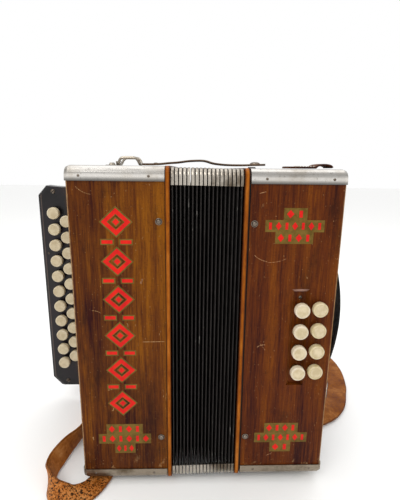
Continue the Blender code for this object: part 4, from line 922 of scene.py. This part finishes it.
def plate(bm, outline, face):
    """A flat figure on the front face, given as (x, z) points."""
    first = [bm.verts.new((x, face, z)) for x, z in outline]
    last = [bm.verts.new((x, face - TRANSFER, z)) for x, z in outline]
    bm.faces.new(first)
    bm.faces.new(last)
    for i in range(len(outline)):
        j = (i + 1) % len(outline)
        bm.faces.new((first[i], first[j], last[j], last[i]))


def lozenge(x, z, wide, tall):
    return ((x - wide / 2, z), (x, z - tall / 2), (x + wide / 2, z), (x, z + tall / 2))


def lozenge_ring(bm, x, z, wide, tall, band, face):
    outer = lozenge(x, z, wide, tall)
    inner = lozenge(x, z, wide - 2 * band * 1.4, tall - 2 * band * 1.4)
    for k in range(4):
        j = (k + 1) % 4
        plate(bm, (outer[k], outer[j], inner[j], inner[k]), face)


def oblong(x, z, wide, tall):
    left, right, base, top = x - wide / 2, x + wide / 2, z - tall / 2, z + tall / 2
    return (left, base), (right, base), (right, top), (left, top)


def make_band():
    """Six red lozenges with bars between them down the treble front, on olive grounds."""
    x, count, top, pitch = -0.0745, 6, 0.2560, 0.0334
    ground, figure = bmesh.new(), bmesh.new()
    for i in range(count):
        z = top - i * pitch
        lozenge_ring(ground, x, z, 0.0275, 0.0262, 0.0052, GROUND_FACE)
        lozenge_ring(figure, x, z, 0.0242, 0.0228, 0.0034, FIGURE_FACE)
        plate(ground, lozenge(x, z, 0.0088, 0.0088), GROUND_FACE)
        plate(figure, lozenge(x, z, 0.0060, 0.0060), FIGURE_FACE)
        if i < count - 1:
            for side in (-1, 1):
                plate(ground, oblong(x + side * 0.0078, z - pitch / 2, 0.0112, 0.0052), GROUND_FACE)
                plate(figure, oblong(x + side * 0.0078, z - pitch / 2, 0.0090, 0.0030), FIGURE_FACE)
    add_shape("treble_band_ground", ground, "olive", "treble", 0)
    add_shape("treble_band_figures", figure, "red", "treble", 0)


def make_plaque(name, x, z, rows, row_height, body):
    """A stepped olive ground with a row of small red marks on each step, top row first."""
    ground, figure = bmesh.new(), bmesh.new()
    top = z + row_height * len(rows) / 2
    for i, (wide, marks) in enumerate(rows):
        middle = top - row_height * (i + 0.5)
        plate(ground, oblong(x, middle, wide, row_height), GROUND_FACE)
        pitch = wide / (marks + 0.25)
        for k in range(marks):
            spot = x + (k - (marks - 1) / 2) * pitch
            if (k + i) % 2:
                shape = oblong(spot, middle, pitch * 0.34, row_height * 0.58)
            else:
                shape = lozenge(spot, middle, pitch * 0.72, row_height * 0.70)
            plate(figure, shape, FIGURE_FACE)
    add_shape(name + "_ground", ground, "olive", body, 0)
    add_shape(name + "_figures", figure, "red", body, 0)


def make_ornaments():
    make_band()
    for name, x, z, rows, row_height in (
        ("treble_plaque", -0.0738, 0.0513, ((0.0335, 4), (0.0485, 6), (0.0190, 3)), 0.0104),
        ("bass_plaque_top", 0.0730, 0.2535, ((0.0195, 2), (0.0495, 7), (0.0320, 4)), 0.0100),
        ("bass_plaque_base", 0.0728, 0.0511, ((0.0320, 4), (0.0500, 7), (0.0200, 2)), 0.0104),
    ):
        body = name.split("_")[0]
        make_plaque(name, x, z, rows, row_height, body)


# Small metal.


def dome(bm, centre, direction, radius, height, sides=18):
    lathe(bm, (
        (0.0, 0.0), (radius, 0.0), (radius, height * 0.18), (radius * 0.86, height * 0.55),
        (radius * 0.55, height * 0.88), (0.0, height),
    ), centre, direction, sides)


def make_pins():
    spots = (
        ("treble", -0.0395, 0.2565), ("treble", -0.0398, 0.0528),
        ("bass", 0.0392, 0.2552), ("bass", 0.0391, 0.0526),
    )
    for i, (body, x, z) in enumerate(spots):
        for face, way, side in ((FRONT, -1, "front"), (BACK, 1, "back")):
            bm = bmesh.new()
            lathe(bm, (
                (0.0, 0.00002), (0.0029, 0.00002), (0.0029, 0.0005), (0.0024, 0.0007), (0.0023, 0.0012),
                (0.0017, 0.0021), (0.0008, 0.0025), (0.0, 0.0026),
            ), (x, face, z), (0, way, 0), 20)
            add_shape(f"bellows_pin_{side}_{i + 1}", bm, "pin_metal", body, 50)


def make_cover_nails():
    """Small round nails along each metal cover's lip, front and back, and on its end."""
    for cover, body in (
        ("treble_top_cover", "treble"), ("treble_bottom_cover", "treble"),
        ("bass_top_cover", "bass"), ("bass_bottom_cover", "bass"),
    ):
        low, high = local_box(cover)
        z = low.z + 0.0040 if "top" in cover else high.z - 0.0040
        bm = bmesh.new()
        inset = 0.0125
        for x in (low.x + inset, high.x - inset):
            dome(bm, (x, low.y, z), (0, -1, 0), 0.0011, 0.0006, 12)
            dome(bm, (x, high.y, z), (0, 1, 0), 0.0011, 0.0006, 12)
        end, way = (low.x, -1) if body == "treble" else (high.x, 1)
        for y in (-0.055, 0.0, 0.055):
            dome(bm, (end, y, z), (way, 0, 0), 0.0011, 0.0006, 12)
        title = cover.replace("cover", "nails")
        add_shape(title, bm, "pin_metal", body, 50)


def screw(name, centre, direction, radius, body):
    """A domed screw with a thin black bar across its head as painted shade for the slot."""
    direction = Vector(direction)
    across = direction.orthogonal().normalized()
    bm = bmesh.new()
    dome(bm, centre, direction, radius, radius * 0.42)
    add_shape(name, bm, "pin_metal", body, 50)
    # Painted shade: the slot is a thin bar in the black gasket felt, standing in for the shaded groove.
    bm = bmesh.new()
    other = direction.cross(across)
    tip = Vector(centre) + direction * radius * 0.405
    half, wide = radius * 0.8, radius * 0.13
    corners = [tip + across * a * half + other * b * wide for a, b in ((-1, -1), (1, -1), (1, 1), (-1, 1))]
    deep = [spot - direction * radius * 0.1 for spot in corners]
    rings = [[bm.verts.new(v + direction * radius * 0.03) for v in corners], [bm.verts.new(v) for v in deep]]
    loft(bm, rings)
    add_shape(name + "_slot", bm, "gasket", body, 0)


def make_screws():
    y = BOARD_LOW.y
    screw("board_screw_top", (-0.1690, y, 0.2723), (0, -1, 0), 0.0026, "treble")
    screw("board_screw_base", (-0.1675, y, 0.0347), (0, -1, 0), 0.0026, "treble")
    screw("board_nail", (-0.1789, y, 0.2006), (0, -1, 0), 0.0013, "treble")
    screw("slot_screw", (0.0828, FRONT + 0.0031, 0.1903), (0, -1, 0), 0.0016, "bass")
    panel = local_box("bass_end_panel")[1].x
    low, high = local_box("hand_strap")
    for label, z in (("top", high.z - 0.0045), ("base", low.z + 0.0045)):
        for y in (-0.018, 0.018):
            side = "front" if y < 0 else "back"
            screw(f"hand_strap_screw_{label}_{side}", (panel + 0.0042, y, z), (1, 0, 0), 0.0036, "bass")


# Straps.


def stitches(name, spots, direction, up, body, length=0.0022, thick=0.0004):
    """Short thread stitches, each lying along direction at one spot."""
    direction, up = Vector(direction).normalized(), Vector(up).normalized()
    across = direction.cross(up)
    bm = bmesh.new()
    for spot in spots:
        centre = Vector(spot)
        rings = []
        for k in range(5):
            share = k / 4
            lift = math.sin(math.pi * share) * thick
            middle = centre + direction * (share - 0.5) * length + up * (lift - thick * 0.4)
            wide = thick * (0.4 + 0.6 * math.sin(math.pi * share))
            turns = [math.pi * q / 3 for q in range(6)]
            rings.append([
                bm.verts.new(middle + across * math.cos(t) * wide + up * math.sin(t) * wide) for t in turns
            ])
        loft(bm, rings)
    add_shape(name, bm, "thread", body, 60)


LEVEL = 0.0026


STRAP_TOP_X, STRAP_LOW_X, STRAP_SEAT = TREBLE_HIGH.x - 0.0260, TREBLE_HIGH.x - 0.0580, BACK + 0.0043


def make_rivets(title, x, y, z, half, body):
    """Two domed rivets side by side where a strap's end is fixed to the back."""
    for k, side in enumerate((-half, half)):
        bm = bmesh.new()
        dome(bm, (x + side, y, z), (0, 1, 0), 0.0028, 0.0013)
        add_shape(f"{title}_{k + 1}", bm, "pin_metal", body, 50)


def shoulder_route():
    top_x, low_x, seat = STRAP_TOP_X, STRAP_LOW_X, STRAP_SEAT
    return (
        (top_x, seat, 0.268, -1, 0, 0), (top_x, seat + 0.0022, 0.245, -1, 0, 0),
        (top_x - 0.002, seat + 0.0072, 0.205, -1, 0, 0), (top_x - 0.008, seat + 0.0120, 0.160, -1, 0, 0),
        (top_x - 0.018, seat + 0.0160, 0.115, -1, 0, 0.1),
        (top_x - 0.032, seat + 0.0180, 0.075, -0.95, 0, 0.3),
        (top_x - 0.050, seat + 0.0160, 0.042, -0.8, 0, 0.6), (-0.1235, 0.0880, 0.0215, -0.5, 0, 0.87),
        (-0.1280, 0.0600, 0.0130, -0.2, 0, 0.98), (-0.1280, 0.0250, 0.0118, 0, 0, 1),
        (-0.1290, -0.0020, 0.0116, 0.05, 0, 1), (-0.1347, -0.0280, 0.0116, 0.16, 0, 0.98),
        (-0.1417, -0.0455, 0.0118, -0.18, 0, 0.98), (-0.1458, -0.0586, 0.0114, -0.35, 0, 0.94),
        (-0.1480, -0.0700, 0.0113, -0.35, 0, 0.94), (-0.1470, -0.0813, 0.0115, -0.3, 0, 0.95),
        (-0.1450, -0.0886, 0.0118, 0.07, 0, 1), (-0.1415, -0.0960, 0.0114, 0.3, 0.1, 0.95),
        (-0.1355, -0.1020, 0.0112, 0.35, 0.35, 0.85), (-0.1275, -0.1045, 0.0088, 0.25, 0.75, 0.6),
        (-0.1190, -0.1020, 0.0058, -0.2, 0.95, 0.3), (-0.1100, -0.0950, 0.0036, -0.55, 0.8, 0.15),
        (-0.1030, -0.0850, LEVEL, -0.75, 0.6, 0), (-0.0985, -0.0720, LEVEL, -0.9, 0.35, 0),
        (-0.0955, -0.0500, LEVEL, -1, 0, 0), (low_x, 0.0, LEVEL, -1, 0, 0),
        (low_x, 0.0600, LEVEL, -1, 0, 0), (low_x, 0.0860, LEVEL, -1, 0, 0),
        (low_x, 0.0960, 0.0080, -1, 0, 0), (low_x, seat + 0.0022, 0.0200, -1, 0, 0),
        (low_x, seat, 0.0320, -1, 0, 0),
    )


def shoulder_fleck(share, spot):
    """Worn to black spots where the strap turns under the case's front."""
    near = (Vector((-0.120, -0.098, 0.005)) - spot).length
    return min(max((0.040 - near) / 0.018, 0.0), 1.0) if spot.z < 0.0135 else 0.0


def make_shoulder_strap():
    mesh = strap_mesh("shoulder_strap_leather", shoulder_route(), 0.0213, 0.0028, 6, fleck=shoulder_fleck)
    strap = add("shoulder_strap_leather", mesh, "strap_flecked", "treble", 45)
    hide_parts("shoulder_strap")
    for end, x, z in (("top", STRAP_TOP_X, 0.262), ("base", STRAP_LOW_X, 0.0300)):
        make_rivets(f"strap_rivet_{end}", x, STRAP_SEAT + 0.0014, z, 0.0055, "treble")


def make_bass_strap():
    x, seat, level = BASS_HIGH.x - 0.050, BACK + 0.0018, 0.0025
    route = (
        (x, seat, 0.078, 1, 0, 0), (x, seat + 0.0012, 0.062, 1, 0, 0),
        (x + 0.001, seat + 0.0050, 0.045, 1, 0, 0),
        (x + 0.003, seat + 0.0120, 0.030, 1, -0.2, 0), (x + 0.010, seat + 0.028, 0.014, 0.8, -0.5, 0),
        (x + 0.032, seat + 0.054, level, 0.5, -0.8, 0), (x + 0.070, seat + 0.078, level, 0.3, -1, 0),
        (x + 0.110, seat + 0.080, level, -0.3, -1, 0), (0.2000, 0.1520, level, -0.9, -0.4, 0),
        (0.2040, 0.1160, level, -1, 0.1, 0), (0.1960, 0.0780, level, -0.97, 0.25, 0),
        (0.1880, 0.0580, level, -0.93, 0.37, 0), (0.1755, 0.0320, 0.0044, -0.85, 0.5, 0.1),
        (0.1600, 0.0140, 0.0062, -0.6, 0.75, 0.25), (0.1440, 0.0040, 0.0066, -0.5, 0.85, 0.27),
        (0.1260, -0.0030, 0.0066, -0.4, 0.9, 0.27),
    )
    mesh = strap_mesh("bass_strap_leather", route, 0.0248, 0.0028, 6, tail=True)
    strap = add("bass_strap_leather", mesh, "strap", "bass", 45)
    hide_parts("bass_strap")
    make_rivets("bass_strap_rivet", x, seat + 0.0014, 0.072, 0.0065, "bass")


def make_hand_strap():
    """A wide black strap bowed over the bass end, with a turned edge down each side."""
    low, high = local_box("hand_strap")
    panel = local_box("bass_end_panel")[1].x
    bulge, thick, count = high.x - low.x - 0.003, 0.003, 40
    bm = bmesh.new()
    half = (high.y - low.y) / 2
    across = (-1.0, -0.985, -0.93, -0.86, -0.5, 0.0, 0.5, 0.86, 0.93, 0.985, 1.0)
    rise_at = {1.0: -0.0006, 0.985: 0.0006, 0.93: 0.0009, 0.86: 0.0002, 0.5: 0.0, 0.0: 0.0}
    rings, edges = [], []
    for i in range(count + 1):
        share = i / count
        z = low.z + (high.z - low.z) * share
        bow = bulge * math.sin(math.pi * share) ** 0.75
        x = panel + 0.0003 + bow
        outer = [(a * half, x + thick * 0.72 + rise_at[abs(a)]) for a in across]
        inner = [(a * half * 0.995, x + 0.0002) for a in reversed(across)]
        rings.append([bm.verts.new((px, y, z)) for y, px in outer + inner])
        edges += [1.0 if abs(y) > half * 0.97 else 0.0 for y, _ in outer + inner]
    loft(bm, rings)
    mesh = finished("hand_strap_leather", bm)
    set_numbers(mesh, "edge", edges)
    strap = add("hand_strap_leather", mesh, "black_leather", "bass", 40)
    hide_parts("hand_strap")
    spots = {-1: [], 1: []}
    for side in spots:
        for i in range(56):
            share = 0.04 + 0.92 * i / 55
            z = low.z + (high.z - low.z) * share
            x = panel + 0.0003 + bulge * math.sin(math.pi * share) ** 0.75 + thick * 0.72
            spots[side].append((x, side * half * 0.82, z))
    for side, label in ((-1, "front"), (1, "back")):
        stitches(f"hand_strap_stitches_{label}", spots[side], (0, 0, 1), (1, 0, 0), "bass", 0.0021, 0.00032)
    for label, z in (("top", high.z - 0.0045), ("base", low.z + 0.0045)):
        bm = bmesh.new()
        outline = rounded_rectangle((-0.027, z - 0.0046), (0.027, z + 0.0046), 0.003, 4)
        rings = [
            [bm.verts.new((x, y, zz)) for y, zz in outline] for x in (panel + 0.0032, panel + 0.0043)
        ]
        loft(bm, rings)
        add_shape(f"hand_strap_plate_{label}", bm, "nickel", "bass", 40)


def plain_path(name, count):
    """The (x, z) middle line of a flat strap's plain node, from end to end along X."""
    node = NODES[name]
    spots = [node.matrix_world @ vertex.co - HOME for vertex in node.data.vertices]
    levels = {}
    for spot in spots:
        levels.setdefault((round(spot.x * 1e4), round(spot.z * 1e4)), spot)
    left, right = min(s.x for s in spots), max(s.x for s in spots)
    line = []
    for i in range(count + 1):
        x = left + (right - left) * i / count
        near = sorted(levels.values(), key=lambda s: abs(s.x - x))[:4]
        line.append((x, sum(s.z for s in near) / len(near)))
    return line


def make_bellows_strap():
    """The closing strap over the bellows: thin old leather with a rivet and a press stud."""
    low, high = local_box("bellows_strap")
    start, width, thick = low.x, high.y - low.y, 0.0019
    middle = plain_path("bellows_strap", 14)
    route = [(x, 0.0, z, 0, 1, 0) for x, z in middle]
    mesh = strap_mesh("bellows_strap_leather", route, width - 0.0004, thick, 4, tail=True)
    strap = add("bellows_strap_leather", mesh, "top_leather", "bellows_strap", 45)
    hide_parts("bellows_strap")
    for title, dx, radius, height in (
        ("strap_rivet", 0.0128, 0.0024, 0.0009), ("strap_press_stud", 0.1136, 0.0052, 0.0021),
    ):
        bm = bmesh.new()
        level = min(middle, key=lambda spot: abs(spot[0] - start - dx))[1]
        dome(bm, (start + dx, 0.0, level + thick / 2), (0, 0, 1), radius, height)
        add_shape(title, bm, "pin_metal", "bellows_strap", 50)


def make_top_tab():
    """A stitched tab: a flat leather strip on the bass top, turned up into a keeper at its outer end."""
    low, high = local_box("top_tab")
    thick = 0.0016
    floor = low.z + thick / 2 + 0.0001
    keeper = high.x - 0.0148
    y = (low.y + high.y) / 2
    width = high.y - low.y - 0.0004
    route = [(low.x + 0.0003, y, floor, 0, 1, 0), (keeper - 0.002, y, floor, 0, 1, 0)]
    for k in range(7):
        angle = math.pi * (1 - k / 6)
        centre = (keeper + high.x - 0.0006) / 2
        reach = (high.x - 0.0006 - keeper) / 2
        level = floor + 0.0001 + 0.0024 * math.sin(angle)
        route.append((centre + reach * math.cos(angle), y, level, 0, 1, 0))
    mesh = strap_mesh("top_tab_leather", route, width, thick, 3)
    tab = add("top_tab_leather", mesh, "tab_leather", "bass", 45)
    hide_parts("top_tab")
    spots = []
    start, end = low.x + 0.0125, low.x + 0.0230
    for k in range(5):
        x = start + (end - start) * k / 4
        spots += [(x, y - width * 0.40, floor + thick / 2), (x, y + width * 0.40, floor + thick / 2)]
    stitches("top_tab_stitches_long", spots, (1, 0, 0), (0, 0, 1), "bass", 0.0021, 0.0005)
    spots = []
    for k in range(7):
        across = y - width * 0.40 + width * 0.80 * k / 6
        spots += [(start - 0.0018, across, floor + thick / 2), (end + 0.0018, across, floor + thick / 2)]
    stitches("top_tab_stitches_across", spots, (0, 1, 0), (0, 0, 1), "bass", 0.0021, 0.0005)


def make_air_button_top():
    low, high = local_box("air_button")
    x, z = (low.x + high.x) / 2, (low.z + high.z) / 2
    bm = bmesh.new()
    radius, deep = 0.0055, 0.0042
    lathe(bm, (
        (0.0, -deep), (radius + 0.0001, -deep), (radius + 0.0001, -0.0006), (radius * 0.9, 0.0),
        (radius * 0.6, -0.0001), (0.0, -0.0003),
    ), (x, high.y + 0.0001, z), (0, 1, 0), 28)
    mesh = finished("air_button_top", bm)
    set_numbers(mesh, "groove", [0.0] * len(mesh.vertices))
    set_numbers(mesh, "dish", [0.0] * len(mesh.vertices))
    add("air_button_top", mesh, "cream", "air_button", 35)


make_materials()
make_camera()
make_studio()
paint_nodes()
make_bellows()
make_gaskets()
make_buttons()
make_ornaments()
make_pins()
make_cover_nails()
make_screws()
make_shoulder_strap()
make_bass_strap()
make_hand_strap()
make_bellows_strap()
make_top_tab()
make_air_button_top()
